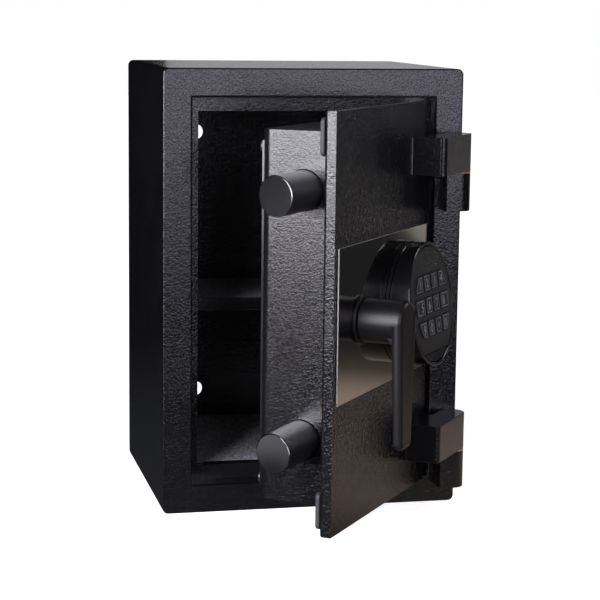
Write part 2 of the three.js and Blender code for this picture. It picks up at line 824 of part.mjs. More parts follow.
// Handle: hub and lever in one piece, turning a spindle and a crank
function handle() {
  const hub = rodY(hubRadius, -handleReach, handleZ, hubFront, hubBack, fineSegments);
  const shape = new THREE.Shape();
  const lowZ = handleZ - leverLength;
  const endHalf = leverEndWidth / 2;
  shape.moveTo(-handleReach - endHalf + leverEndRadius, lowZ);
  shape.lineTo(-handleReach + endHalf - leverEndRadius, lowZ);
  shape.absarc(
    -handleReach + endHalf - leverEndRadius,
    lowZ + leverEndRadius,
    leverEndRadius,
    -Math.PI / 2,
    0,
    false,
  );
  shape.lineTo(-handleReach + hubRadius, handleZ);
  shape.absarc(-handleReach, handleZ, hubRadius, 0, Math.PI, false);
  shape.lineTo(-handleReach - endHalf, lowZ + leverEndRadius);
  shape.absarc(
    -handleReach - endHalf + leverEndRadius,
    lowZ + leverEndRadius,
    leverEndRadius,
    Math.PI,
    Math.PI * 1.5,
    false,
  );
  const lever = alongY(shape, hubFront, hubFront + leverThickness, smallSegments / 2);
  const socketRadius = spindleRadius + seatGap;
  const socket = rodY(socketRadius, -handleReach, handleZ, hubBack - spindleSocketDepth, hubBack + 1);
  return cut(join(hub, lever), socket);
}

function spindle() {
  const front = hubBack - spindleSocketDepth + seatGap;
  return rodY(spindleRadius, -handleReach, handleZ, front, spindleEndDepth);
}

function handleRosette() {
  const ring = withHoles(
    circle(rosetteRadius, -handleReach, handleZ),
    circle(spindleRadius + spindleClearance, -handleReach, handleZ),
  );
  return alongY(ring, rosetteBack - rosetteThickness, rosetteBack, smallSegments);
}

function crank() {
  const pinX = -handleReach + crankX;
  const pinZ = handleZ + crankZ;
  const across = [Math.cos(crankStartAngle) * crankArmHalfWidth, -Math.sin(crankStartAngle) * crankArmHalfWidth];
  const arm = polygon([
    [-handleReach - across[0], handleZ - across[1]],
    [-handleReach + across[0], handleZ + across[1]],
    [pinX + across[0], pinZ + across[1]],
    [pinX - across[0], pinZ - across[1]],
  ]);
  const back = crankDepth + crankSheet;
  const boss = rodY(crankBossRadius, -handleReach, handleZ, crankDepth, back);
  const tip = rodY(crankArmHalfWidth, pinX, pinZ, crankDepth, back);
  const pin = rodY(crankPinRadius, pinX, pinZ, back - 1, boltPlateDepth + boltPlateSheet + seatGap, smallSegments);
  const bore = rodY(spindleRadius + seatGap, -handleReach, handleZ, crankDepth - 1, back + 1);
  return cut(join(alongY(arm, crankDepth, back), boss, tip, pin), bore);
}

function crankRoller() {
  const pinX = -handleReach + crankX;
  const pinZ = handleZ + crankZ;
  const ring = withHoles(circle(rollerRadius, pinX, pinZ), circle(crankPinRadius + seatGap, pinX, pinZ));
  const front = crankDepth + crankSheet + seatGap;
  return alongY(ring, front, boltPlateDepth + boltPlateSheet + seatGap, smallSegments / 2);
}

function spindleClip() {
  const ring = withHoles(
    circle(clipRadius, -handleReach, handleZ),
    circle(spindleRadius + seatGap, -handleReach, handleZ),
  );
  const front = crankDepth + crankSheet + seatGap;
  return alongY(ring, front, front + clipThickness, smallSegments / 2);
}

// Solenoid lock: the plunger drops beside the thrown bolt plate and blocks it
function solenoid() {
  const front = bracketArmDepth + bracketSheet + seatGap;
  const body = rodY(solenoidRadius, -plungerReach, solenoidZ, front, front + solenoidLength);
  const boreEnd = plungerTipDepth + plungerLength + 2 * seatGap;
  return cut(body, rodY(plungerRadius + plungerClearance, -plungerReach, solenoidZ, front - 1, boreEnd));
}

function solenoidBracket() {
  const armFreeX = -plungerReach - solenoidRadius - bracketArmOverlap;
  const riserX = -plungerReach + bracketRiserOffset;
  const arm = box(
    armFreeX,
    riserX,
    bracketArmDepth,
    bracketArmDepth + bracketSheet,
    solenoidZ - bracketHeight / 2,
    solenoidZ + bracketHeight / 2,
  );
  const riser = box(
    riserX - bracketSheet,
    riserX,
    doorThickness + seatGap,
    bracketArmDepth + bracketSheet,
    solenoidZ - bracketHeight / 2,
    solenoidZ + bracketHeight / 2,
  );
  const foot = box(
    riserX - bracketSheet,
    riserX + bracketFootWidth,
    doorThickness + seatGap,
    doorThickness + seatGap + bracketSheet,
    solenoidZ - bracketHeight / 2,
    solenoidZ + bracketHeight / 2,
  );
  const hole = rodY(
    plungerRadius + plungerClearance,
    -plungerReach,
    solenoidZ,
    bracketArmDepth - 1,
    bracketArmDepth + bracketSheet + 1,
  );
  return cut(join(arm, riser, foot), hole);
}

function lockPlunger() {
  return rodY(plungerRadius, -plungerReach, solenoidZ, plungerTipDepth, plungerTipDepth + plungerLength);
}

// Keypad: a round housing with a sloping face, on a base that is fixed to the door
function keypadBase() {
  const disc = withHoles(
    circle(keypadRadius, -keypadReach, keypadZ),
    circle(leadHoleRadius, -leadReach, leadZ),
  );
  return alongY(disc, keypadBaseFront, keypadBaseBack, roundSegments);
}

function keypadHousing() {
  const ring = withHoles(
    circle(keypadRadius, -keypadReach, keypadZ),
    circle(keypadRadius - keypadWall, -keypadReach, keypadZ),
  );
  const farFront = keypadFaceMid - keypadRadius;
  const tube = alongY(ring, farFront, keypadBaseFront - seatGap, roundSegments);
  const size = 3 * keypadRadius;
  const beyond = box(-size, size, -size, 0, -size, size);
  beyond.rotateX(-keypadTilt);
  beyond.translate(-keypadReach, keypadFaceMid, keypadZ);
  return cut(tube, beyond);
}

// Outline of one key: the outer keys end on the round border of the key field
function keyOutline(column, row, inset) {
  const midX = (column - 1.5) * keyPitch;
  const side = Math.sign(midX);
  const low = (1 - row) * keyRowPitch - keyHeight / 2 + inset;
  const high = (1 - row) * keyRowPitch + keyHeight / 2 - inset;
  if (Math.abs(midX) < keyPitch) {
    return rect(keyWidth - 2 * inset, high - low, midX, (low + high) / 2);
  }
  const nearX = side * (1.5 * keyPitch - keyWidth / 2 + inset);
  const radius = keyFieldRadius - inset;
  const border = [];
  for (let step = 0; step <= cornerSegments; step += 1) {
    const z = low + (high - low) * step / cornerSegments;
    border.push([side * Math.sqrt(radius * radius - z * z), z]);
  }
  const points = [[nearX, low], ...border, [nearX, high]];
  return polygon(side > 0 ? points : points.reverse());
}

function facePlate() {
  const back = facePlateRecess + facePlateThickness;
  const size = keypadRadius;
  const tools = [box(-size, size, -1, back + 1, -size, -lidChord)];
  for (let row = 0; row < 3; row += 1) {
    for (let column = 0; column < 4; column += 1) {
      tools.push(alongY(keyOutline(column, row, 0), -1, back + 1));
    }
  }
  tools.push(rodY(lightRadius + seatGap, lightOffset, lightHeight, -1, back + 1, smallSegments));
  return cut(alongY(circle(facePlateRadius), facePlateRecess, back, roundSegments), ...tools);
}

function batteryLid() {
  const back = facePlateRecess + lidThickness;
  const size = keypadRadius;
  const disc = alongY(circle(keypadRadius - keypadWall - lidSwingClearance), facePlateRecess, back, roundSegments);
  return cut(disc, box(-size, size, -1, back + 1, -lidChord - lidClearance, size));
}

function key(column, row) {
  return alongY(keyOutline(column, row, keyClearance), -keyProud, keyDepth - keyProud);
}

function statusLight() {
  return rodY(lightRadius, lightOffset, lightHeight, facePlateRecess - seatGap, boardDepth - seatGap, smallSegments);
}

function keypadBoard() {
  return alongY(circle(boardRadius), boardDepth, boardDepth + boardThickness, smallSegments);
}

function batteryPack() {
  const back = keypadBaseFront - 2 * seatGap;
  return box(
    -keypadReach - batteryWidth / 2,
    -keypadReach + batteryWidth / 2,
    back - batteryThickness,
    back,
    keypadZ - batteryDrop,
    keypadZ - batteryDrop + batteryHeight,
  );
}

// Lead from the keypad's board through the door to the solenoid
function keypadLead() {
  const boardLift = (leadZ - keypadZ) * Math.sin(keypadTilt);
  const start = keypadFaceMid + (boardDepth + boardThickness) * Math.cos(keypadTilt) + boardLift + 2 * seatGap;
  const solenoidTop = solenoidZ + solenoidRadius + seatGap;
  const route = new THREE.CatmullRomCurve3([
    new THREE.Vector3(-leadReach, start, leadZ),
    new THREE.Vector3(-leadReach, doorThickness, leadZ),
    new THREE.Vector3(-leadReach, leadBackDepth - leadStraight, leadZ),
    new THREE.Vector3(-leadReach - leadBend, leadBackDepth, leadZ),
    new THREE.Vector3(-plungerReach + leadBend, leadBackDepth, leadZ),
    new THREE.Vector3(-plungerReach, leadBackDepth, leadZ - leadBend),
    new THREE.Vector3(-plungerReach, leadBackDepth, solenoidTop),
  ], false, 'centripetal');
  const section = new THREE.Shape();
  for (let side = 0; side < 8; side += 1) {
    const angle = side * Math.PI / 4;
    const point = [leadRadius * Math.cos(angle), leadRadius * Math.sin(angle)];
    if (side === 0) section.moveTo(...point);
    else section.lineTo(...point);
  }
  return new THREE.ExtrudeGeometry(section, { steps: 26, bevelEnabled: false, extrudePath: route });
}

// Assembly
addPart(safe, 'body_wrap', bodyWrap(), hammerPaint());
addPart(safe, 'back_panel', backPanel(), hammerPaint());
addPart(safe, 'front_frame', frontFrame(), hammerPaint());
addPart(safe, 'stop_frame', stopFrame(), hammerPaint());
addPart(safe, 'floor_pan', floorPan(), hammerPaint());
addPart(safe, 'shelf', shelf(), hammerPaint());
addPart(safe, 'shelf_rail_left', shelfRail(-1), hammerPaint());
addPart(safe, 'shelf_rail_right', shelfRail(1), hammerPaint());
for (const [name, blockZ] of hingeSockets) {
  addPart(safe, `hinge_body_block_${name}`, bodyHingeBlock(blockZ), hammerPaint());
  addPart(safe, `hinge_pin_${name}`, hingePin(blockZ), zincSteel());
  addPart(safe, `hinge_washer_${name}`, hingeWasher(blockZ), brass());
  addPart(door, `hinge_door_block_${name}`, doorHingeBlock(blockZ), hammerPaint());
}
addPart(door, 'door_plate', doorPlate(), hammerPaint());
addPart(door, 'trim_plate', trimPlate(), mirrorPlate());
addPart(door, 'door_pad_upper', doorPad(doorTopZ - padEndInset), padRubber());
addPart(door, 'door_pad_lower', doorPad(doorBottomZ + padEndInset + padHeight), padRubber());
addPart(door, 'bolt_case', boltCase(), hammerPaint());
addPart(door, 'case_cover', caseCover(), hammerPaint());
coverScrewPlaces().forEach((place, index) => {
  addPart(door, `cover_screw_${index + 1}`, coverScrew(place), zincSteel());
});
addPart(door, 'bolt_lower', bolt(boltLowZ), boltSteel());
addPart(door, 'bolt_upper', bolt(boltHighZ), boltSteel());
addPart(door, 'bolt_plate', boltPlate(), zincSteel());
addPart(door, 'guide_stud_lower', guideStud(studLowZ), zincSteel());
addPart(door, 'guide_stud_upper', guideStud(studHighZ), zincSteel());
addPart(door, 'handle_rosette', handleRosette(), satinBlack());
addPart(door, 'handle', handle(), satinBlack());
addPart(door, 'spindle', spindle(), zincSteel());
addPart(door, 'crank', crank(), zincSteel());
addPart(door, 'crank_roller', crankRoller(), zincSteel());
addPart(door, 'spindle_clip', spindleClip(), zincSteel());
addPart(door, 'solenoid', solenoid(), zincSteel());
addPart(door, 'solenoid_bracket', solenoidBracket(), zincSteel());
addPart(door, 'lock_plunger', lockPlunger(), zincSteel());
addPart(door, 'keypad_base', keypadBase(), keypadPlastic());
addPart(door, 'keypad_housing', keypadHousing(), keypadPlastic());
addPart(door, 'battery_pack', batteryPack(), cellWrap());
addPart(door, 'keypad_lead', keypadLead(), leadSleeve());
addPart(keypadFace, 'keypad_face', facePlate(), keypadPlastic());
addPart(keypadFace, 'battery_lid', batteryLid(), keypadPlastic());
addPart(keypadFace, 'status_light', statusLight(), lightLens());
addPart(keypadFace, 'keypad_board', keypadBoard(), circuitBoard());
for (let row = 0; row < 3; row += 1) {
  for (let column = 0; column < 4; column += 1) {
    addPart(keypadFace, `key_${row * 4 + column + 1}`, key(column, row), keyRubber());
  }
}

export default safe;
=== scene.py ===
# %% [markdown]
# A small steel medicine safe, seen with its door standing open.
# The CAD model gives every size and every moving body. This file gives the looks:
# rounded edges, hammered paint, a mirror-bright trim plate, printed keys and studio light.
# Every length is in metres, and MM turns a length in millimetres into metres.

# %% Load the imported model
from math import cos, pi, radians, sin

import bmesh
import bpy
from mathutils import Matrix, Vector


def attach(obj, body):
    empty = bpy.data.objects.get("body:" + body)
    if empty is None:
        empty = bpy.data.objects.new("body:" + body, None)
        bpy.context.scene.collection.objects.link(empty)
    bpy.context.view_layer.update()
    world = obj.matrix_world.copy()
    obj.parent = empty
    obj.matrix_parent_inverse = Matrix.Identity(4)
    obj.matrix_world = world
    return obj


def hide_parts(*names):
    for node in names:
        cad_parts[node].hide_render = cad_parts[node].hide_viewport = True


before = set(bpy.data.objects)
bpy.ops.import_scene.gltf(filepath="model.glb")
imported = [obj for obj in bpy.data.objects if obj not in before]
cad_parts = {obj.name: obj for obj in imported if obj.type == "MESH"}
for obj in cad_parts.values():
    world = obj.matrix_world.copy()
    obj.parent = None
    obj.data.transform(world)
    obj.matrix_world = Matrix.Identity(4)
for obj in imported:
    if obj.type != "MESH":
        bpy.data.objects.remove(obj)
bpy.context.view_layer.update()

MM = 0.001

# %% [markdown]
# The door stands 53.4 degrees open, and everything on it is easier to think of square to the
# door. So there are three places to build in: the body's own, the door's and the keypad face's.
# In the door's, x runs from the hinge axis (0) to the free edge (negative), y is the depth
# behind the door's front face and z is the height. Each is a matrix that moves a finished
# mesh to where the CAD has it.

# %% Places to build in
DOOR_OPEN = radians(53.4)
HINGE_AXIS = Vector((100.4, -98.2, 0)) * MM
DOOR_SET_BACK = 15.2 * MM
KEYPAD_TILT = radians(7.6)
KEYPAD_CENTRE = Vector((-59, -19.7, 154.5)) * MM

BODY_PLACE = Matrix.Identity(4)
DOOR_PLACE = (
    Matrix.Translation(HINGE_AXIS)
    @ Matrix.Rotation(DOOR_OPEN, 4, "Z")
    @ Matrix.Translation((0, DOOR_SET_BACK, 0))
)
FACE_PLACE = (
    DOOR_PLACE
    @ Matrix.Translation(KEYPAD_CENTRE)
    @ Matrix.Rotation(-KEYPAD_TILT, 4, "X")
)
print("keypad centre:", [round(value, 4) for value in FACE_PLACE.translation])

# %% [markdown]
# The camera stands where the photographer's stood: a little higher than the safe, a little
# to the left of it, and far off behind a long lens, so that the body's sides hardly converge.
# The angles were fitted to the corners of the body, the opening and the door.

# %% Camera
CAMERA_AT = Vector((-292.0, -1325.5, 350.9)) * MM
CAMERA_YAW = radians(12.87)
CAMERA_PITCH = radians(9.02)
CAMERA_ROLL = radians(0.69)
LENS = 110.45
SENSOR_WIDTH = 36

forward = Vector((
    sin(CAMERA_YAW) * cos(CAMERA_PITCH),
    cos(CAMERA_YAW) * cos(CAMERA_PITCH),
    -sin(CAMERA_PITCH),
))
level_right = Vector((cos(CAMERA_YAW), -sin(CAMERA_YAW), 0))
level_up = level_right.cross(forward)
right = level_right * cos(CAMERA_ROLL) + level_up * sin(CAMERA_ROLL)
up = level_up * cos(CAMERA_ROLL) - level_right * sin(CAMERA_ROLL)

camera_data = bpy.data.cameras.new("camera")
camera_data.sensor_fit = "HORIZONTAL"
camera_data.sensor_width = SENSOR_WIDTH
camera_data.lens = LENS
camera_data.clip_start = 0.05
camera_data.clip_end = 50
camera = bpy.data.objects.new("camera", camera_data)
bpy.context.collection.objects.link(camera)
turn = Matrix((right, up, -forward)).transposed()
camera.matrix_world = Matrix.Translation(CAMERA_AT) @ turn.to_4x4()
bpy.context.scene.camera = camera
print("lens:", LENS, "camera at", [round(value, 3) for value in CAMERA_AT])

# %% [markdown]
# A material is a small network of nodes that ends in a Principled shader. The helpers below
# build it, and the last of them makes the plain ones. No real surface has one flat value, so
# a slow noise spreads the colour and the roughness a little, and a fine noise gives the grain
# that a bump shows. The noises read Object coordinates, which stay with the piece when the
# door turns. Most of a noise's values lie in NOISE_SPAN.

# %% Helpers for finishes
NOISE_SPAN = (0.3, 0.7)


def add_node(tree, kind, **values):
    """A node of that kind with its properties or named inputs set."""
    node = tree.nodes.new(kind)
    for name, value in values.items():
        if name in node.inputs:
            node.inputs[name].default_value = value
        else:
            setattr(node, name, value)
    return node


def start_material(name, roughness, metallic):
    """A new material, its tree, its shader and a node with the piece's own coordinates."""
    material = bpy.data.materials.new(name)
    material.use_nodes = True
    tree = material.node_tree
    shader = tree.nodes["Principled BSDF"]
    shader.inputs["Roughness"].default_value = roughness
    shader.inputs["Metallic"].default_value = metallic
    return material, tree, shader, add_node(tree, "ShaderNodeTexCoord")


def noise(tree, place, scale, detail=2.0, roughness=0.5, distortion=0.0):
    """The 0 to 1 value of a noise with that many cells a metre."""
    texture = add_node(tree, "ShaderNodeTexNoise", Scale=scale, Detail=detail,
                       Roughness=roughness, Distortion=distortion)
    tree.links.new(place.outputs["Object"], texture.inputs["Vector"])
    return texture.outputs["Fac"]


def stretch(tree, value, span, low, high, course="LINEAR"):
    """The value, stretched from a span to low and high, and held at them outside the span."""
    fit = add_node(tree, "ShaderNodeMapRange", interpolation_type=course)
    fit.inputs["From Min"].default_value = span[0]
    fit.inputs["From Max"].default_value = span[1]
    fit.inputs["To Min"].default_value = low
    fit.inputs["To Max"].default_value = high
    tree.links.new(value, fit.inputs["Value"])
    return fit.outputs["Result"]


def two_tone(tree, value, dark, light):
    """A colour between dark and light, by a value from 0 to 1."""
    mix = add_node(tree, "ShaderNodeMix", data_type="RGBA")
    mix.inputs["A"].default_value = (*dark, 1)
    mix.inputs["B"].default_value = (*light, 1)
    tree.links.new(value, mix.inputs["Factor"])
    return mix.outputs["Result"]


def raise_surface(tree, shader, height, depth):
    """Bumps on the surface: depth is the height in metres of a value of 1."""
    bump = add_node(tree, "ShaderNodeBump", Distance=depth)
    tree.links.new(height, bump.inputs["Height"])
    tree.links.new(bump.outputs["Normal"], shader.inputs["Normal"])


def plain_finish(name, dark, light, roughness, metallic=0.0, grain=1500, depth=0.02 * MM,
                 uneven=0.06, patches=25):
    """A material with two close colours, an uneven roughness and a fine grain."""
    material, tree, shader, place = start_material(name, roughness, metallic)
    patch = noise(tree, place, patches, detail=3)
    colour = two_tone(tree, stretch(tree, patch, NOISE_SPAN, 0, 1), dark, light)
    tree.links.new(colour, shader.inputs["Base Color"])
    gloss = stretch(tree, patch, NOISE_SPAN, roughness - uneven / 2, roughness + uneven / 2)
    tree.links.new(gloss, shader.inputs["Roughness"])
    raise_surface(tree, shader, noise(tree, place, grain), depth)
    return material

# %% [markdown]
# The safe is sprayed with black hammer paint. It dries into low, nearly flat islands a
# millimetre or two across, with narrow dents between them. The islands shine like a mirror
# that is a little uneven, and the dents look dark where the island is bright, or bright where
# it is dark. A noise, cut off at the top, gives islands and dents. A slower one gives the
# swell of the islands. The bump turns both into relief under a glossy coat.
#
# The coat isn't the same everywhere. It lies finer on the bolt case. The door's front is seen
# at a flat angle, where only coarser and deeper dents show as they do in the photograph. The
# hinge blocks shine a little less. Their faces in the shade take a copy that shines much less,
# which is painted shade.

# %% Hammer paint
BODY_DENTS = 780
DOOR_DENTS = 570
CASE_DENTS = 930
DENT_EDGE = (0.25, 0.62)
SWELLS = 330
SWELL_SHARE = 1.2
PAINT_PATCHES = 30
PAINT_BLACK = ((0.004, 0.004, 0.0048), (0.006, 0.006, 0.0068))


def hammer_paint(name, depth, roughness, shine=0.5, dents_a_metre=BODY_DENTS):
    """Black hammer paint with dents of that depth."""
    material, tree, shader, place = start_material(name, roughness, 0.0)
    dents = noise(tree, place, dents_a_metre, detail=1.5, roughness=0.45, distortion=0.8)
    islands = stretch(tree, dents, DENT_EDGE, 0, 1)
    swell = noise(tree, place, SWELLS, detail=2, distortion=0.5)
    height = add_node(tree, "ShaderNodeMath", operation="MULTIPLY_ADD")
    tree.links.new(swell, height.inputs[0])
    height.inputs[1].default_value = SWELL_SHARE
    tree.links.new(islands, height.inputs[2])
    raise_surface(tree, shader, height.outputs["Value"], depth)
    patch = noise(tree, place, PAINT_PATCHES, detail=3)
    colour = two_tone(tree, stretch(tree, patch, NOISE_SPAN, 0, 1), *PAINT_BLACK)
    tree.links.new(colour, shader.inputs["Base Color"])
    shader.inputs["Specular IOR Level"].default_value = shine
    return material


paint = hammer_paint("hammer_paint", depth=0.09 * MM, roughness=0.12)
case_paint = hammer_paint("case_paint", 0.072 * MM, 0.13, dents_a_metre=CASE_DENTS)
door_paint = hammer_paint("door_paint", 0.18 * MM, 0.09, dents_a_metre=DOOR_DENTS)
block_paint = hammer_paint("block_paint", 0.12 * MM, 0.12, shine=0.42)
# A copy of the block paint that shines much less: painted shade for the blocks' shaded faces.
block_painted_shade = hammer_paint("block_painted_shade", 0.05 * MM, 0.16, shine=0.12)
cover_black = plain_finish("cover_black", *PAINT_BLACK, 0.2, grain=900, depth=0.01 * MM)
print("paint dents about", round(1000 / BODY_DENTS, 1), "mm apart")

# %% [markdown]
# The floor pan and the shelf have a rough, pale top that shines nowhere. It is made as flock:
# a matt surface whose tufts are pale at their tips, with painted shade between them.

# %% Flock
# The dark colour is painted shade in the hollows between the tufts.
FLOCK_PAINTED_SHADE = (0.05, 0.05, 0.053)
FLOCK_LIGHT = (0.55, 0.55, 0.58)
FLOCK_TUFTS = 620
FLOCK_DEPTH = 0.5 * MM


def flock_finish():
    """Pale flock: one noise gives the height of the tufts and the painted shade between them."""
    material, tree, shader, place = start_material("flock", 0.9, 0.0)
    tufts = noise(tree, place, FLOCK_TUFTS, detail=3, roughness=0.6)
    colour = two_tone(tree, stretch(tree, tufts, NOISE_SPAN, 0, 1), FLOCK_PAINTED_SHADE, FLOCK_LIGHT)
    tree.links.new(colour, shader.inputs["Base Color"])
    shader.inputs["Specular IOR Level"].default_value = 0.1
    raise_surface(tree, shader, tufts, FLOCK_DEPTH)
    return material


flock = flock_finish()
print("flock tufts about", round(1000 / FLOCK_TUFTS, 1), "mm apart")

# %% [markdown]
# The metals are a mirror-bright trim plate with duller edges, black-nickel bolts, zinc-plated
# hardware and brass washers. The bolts are polished on their ends and turned along their
# length, which scatters the light more. Their sides also take a lighter copy of the nickel,
# which is painted light. The handle is cast metal under satin black, which shines less than
# the keypad's plastic. After the name, each finish has its two colours and its roughness.

# %% Metals
SATIN_BLACK = ((0.004, 0.004, 0.0045), (0.006, 0.006, 0.0065))
HANDLE_SHINE = 0.3

trim_edge = plain_finish("trim_edge", (0.5, 0.47, 0.44), (0.56, 0.53, 0.5), 0.42, metallic=1.0,
                         grain=1500, depth=0.01 * MM)
trim_mirror = plain_finish("trim_mirror", (0.46, 0.44, 0.43), (0.5, 0.48, 0.47), 0.07,
                           metallic=1.0, grain=60, depth=0.004 * MM, uneven=0.02)
bolt_nickel = plain_finish("bolt_nickel", (0.23, 0.23, 0.24), (0.27, 0.27, 0.28), 0.18,
                           metallic=1.0, grain=900, depth=0.002 * MM)
# The bolts' sides: rougher, and a lighter copy of the nickel that is painted light.
bolt_side_painted_light = plain_finish("bolt_side_painted_light", (0.38, 0.38, 0.39), (0.44, 0.44, 0.45), 0.3,
                           metallic=1.0, grain=900, depth=0.002 * MM)
handle_black = plain_finish("handle_black", *SATIN_BLACK, 0.42, grain=2600, depth=0.008 * MM)
handle_shader = handle_black.node_tree.nodes["Principled BSDF"]
handle_shader.inputs["Specular IOR Level"].default_value = HANDLE_SHINE
zinc = plain_finish("zinc", (0.5, 0.51, 0.53), (0.62, 0.62, 0.6), 0.32, metallic=1.0,
                    grain=1200, depth=0.01 * MM, patches=60)
washer_brass = plain_finish("washer_brass", (0.85, 0.58, 0.24), (0.95, 0.68, 0.3), 0.5,
                            metallic=1.0, grain=1600, depth=0.01 * MM)
print("metals:", trim_mirror.name, bolt_nickel.name, zinc.name, washer_brass.name)

# %% [markdown]
# The keypad is moulded in black plastic: a glossy drum and lid, a matt foil on the face, and
# rubber keys with pale ink. Its board, cells and lead are hidden behind it.

# %% Plastics, rubber and ink
keypad_black = plain_finish("keypad_black", *SATIN_BLACK, 0.25, grain=3000, depth=0.008 * MM)
drum_black = plain_finish("drum_black", *SATIN_BLACK, 0.19, grain=3000, depth=0.006 * MM)
face_foil = plain_finish("face_foil", (0.009, 0.009, 0.01), (0.012, 0.012, 0.013), 0.42,
                         grain=4200, depth=0.008 * MM)
key_cap = plain_finish("key_cap", (0.009, 0.009, 0.01), (0.013, 0.013, 0.014), 0.45,
                       grain=3500, depth=0.012 * MM)
key_ink = plain_finish("key_ink", (0.18, 0.18, 0.19), (0.25, 0.25, 0.26), 0.55,
                       grain=3500, depth=0.004 * MM)
lid_gloss = plain_finish("lid_gloss", (0.008, 0.008, 0.009), (0.012, 0.012, 0.013), 0.16,
                         grain=200, depth=0.01 * MM)
pad_rubber = plain_finish("pad_rubber", (0.02, 0.02, 0.021), (0.035, 0.035, 0.036), 0.62,
                          grain=2200, depth=0.03 * MM)
lens_red = plain_finish("lens_red", (0.05, 0.02, 0.018), (0.06, 0.025, 0.022), 0.2,
                        grain=300, depth=0.004 * MM)
board_green = plain_finish("board_green", (0.01, 0.09, 0.03), (0.02, 0.14, 0.05), 0.4,
                           grain=700, depth=0.02 * MM)
cell_wrap = plain_finish("cell_wrap", (0.05, 0.055, 0.06), (0.07, 0.075, 0.08), 0.35,
                         grain=500, depth=0.01 * MM)
lead_sleeve = plain_finish("lead_sleeve", (0.03, 0.03, 0.032), (0.045, 0.045, 0.047), 0.5,
                           grain=900, depth=0.02 * MM)
print("plastics:", keypad_black.name, face_foil.name, key_cap.name, pad_rubber.name)

# %% [markdown]
# Sheet metal is never knife-edged: every cut and fold has a small round that catches the
# light. Where the CAD solid already has the right shape, the piece is a copy of it with its
# loose triangles merged, its flat faces joined again and its sharp edges bevelled. A Weighted
# Normal modifier keeps the big faces flat to the eye.
#
# A bevel that is clamped shrinks to what the shortest edge beside it can take. Where short
# edges elsewhere would shrink it too far, only the edges that need the round are picked, and
# the clamp is off.

# %% Helpers for shapes
WELD_DISTANCE = 0.002 * MM
NEAR = 0.05 * MM
FLAT = radians(0.5)
SHARP = radians(30)
FACING = 0.9


def from_node(name, place=BODY_PLACE):
    """A bmesh of a CAD node, square to that place, welded, with its flat triangles joined."""
    shape = bmesh.new()
    shape.from_mesh(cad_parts[name].data)
    bmesh.ops.remove_doubles(shape, verts=shape.verts, dist=WELD_DISTANCE)
    bmesh.ops.dissolve_limit(shape, angle_limit=FLAT, verts=shape.verts, edges=shape.edges)
    bmesh.ops.transform(shape, matrix=place.inverted(), verts=shape.verts)
    shape.normal_update()
    return shape


def bevel_edges(shape, edges, width, segments, clamp=True):
    """Rounds the edges and works out the normals of the new faces."""
    bmesh.ops.bevel(shape, geom=edges, offset=width, offset_type="OFFSET", segments=segments,
                    profile=0.5, affect="EDGES", clamp_overlap=clamp, material=-1)
    shape.normal_update()


def round_sharp(shape, width, segments=3, pick=None, clamp=True):
    """Bevels the edges where faces meet at more than SHARP, or those of them that pick takes."""
    edges = [
        edge for edge in shape.edges
        if len(edge.link_faces) == 2
        and edge.calc_face_angle(0) > SHARP
        and (pick is None or pick(edge))
    ]
    bevel_edges(shape, edges, width, segments, clamp)
    return shape


def cut_off(shape, point, facing):
    """Cuts away what lies past a plane, and returns the edges along the cut."""
    cut = bmesh.ops.bisect_plane(
        shape, geom=shape.verts[:] + shape.edges[:] + shape.faces[:],
        plane_co=point, plane_no=facing, clear_outer=True,
    )
    return [item for item in cut["geom_cut"] if isinstance(item, bmesh.types.BMEdge)]


def second_finish(shape, takes):
    """Gives the faces that takes picks the second of the piece's materials."""
    for face in shape.faces:
        face.material_index = int(takes(face))

# %% [markdown]
# A finished shape becomes an object that rides on one of the bodies, has a material slot and
# hides the CAD node that it stands for. Its place is in its mesh, so that the object itself
# stays at the origin.

# %% Helpers for pieces
def add_object(name, shape):
    """A new object in the scene with the bmesh as its mesh."""
    mesh = bpy.data.meshes.new(name)
    shape.to_mesh(mesh)
    shape.free()
    thing = bpy.data.objects.new(name, mesh)
    bpy.context.collection.objects.link(thing)
    return thing


def take_result(thing):
    """A bmesh of what a text or a modifier makes of an object, which is then removed."""
    bpy.context.view_layer.update()
    worked_out = thing.evaluated_get(bpy.context.evaluated_depsgraph_get())
    mesh = bpy.data.meshes.new_from_object(worked_out)
    bpy.data.objects.remove(thing)
    shape = bmesh.new()
    shape.from_mesh(mesh)
    return shape


def make_piece(name, shape, place, body, materials, nodes=(), smooth=35, flat_weight=True):
    """Turns a bmesh into a finished object that rides on a body and stands for CAD nodes."""
    bmesh.ops.transform(shape, matrix=place, verts=shape.verts)
    piece = add_object(name, shape)
    piece.data.shade_smooth()
    piece.data.set_sharp_from_angle(angle=radians(smooth))
    for material in materials:
        piece.data.materials.append(material)
    if flat_weight:
        weighted = piece.modifiers.new("flat faces", "WEIGHTED_NORMAL")
        weighted.keep_sharp = True
    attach(piece, body)
    if nodes:
        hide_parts(*nodes)
    return piece


def dressed_copy(node, name, body, material, width):
    """Makes a piece that is the CAD node's copy with rounded edges."""
    shape = round_sharp(from_node(node), width)
    piece = make_piece(name, shape, BODY_PLACE, body, [material], nodes=(node,))
    print(name, len(piece.data.polygons), "faces")

# %% [markdown]
# The body is one welded box: a folded wrap, a back panel and a front frame. On the real one
# the welds are ground flush before painting, so apart from the wrap's own folds only the
# front and back edges show a round. The tops of the floor pan and of the shelf are flocked.

# %% Body shell
FRAME_ROUND = 1.3 * MM
FOLD_ROUND = 1.8 * MM
FRAME_MARGIN = 8 * MM


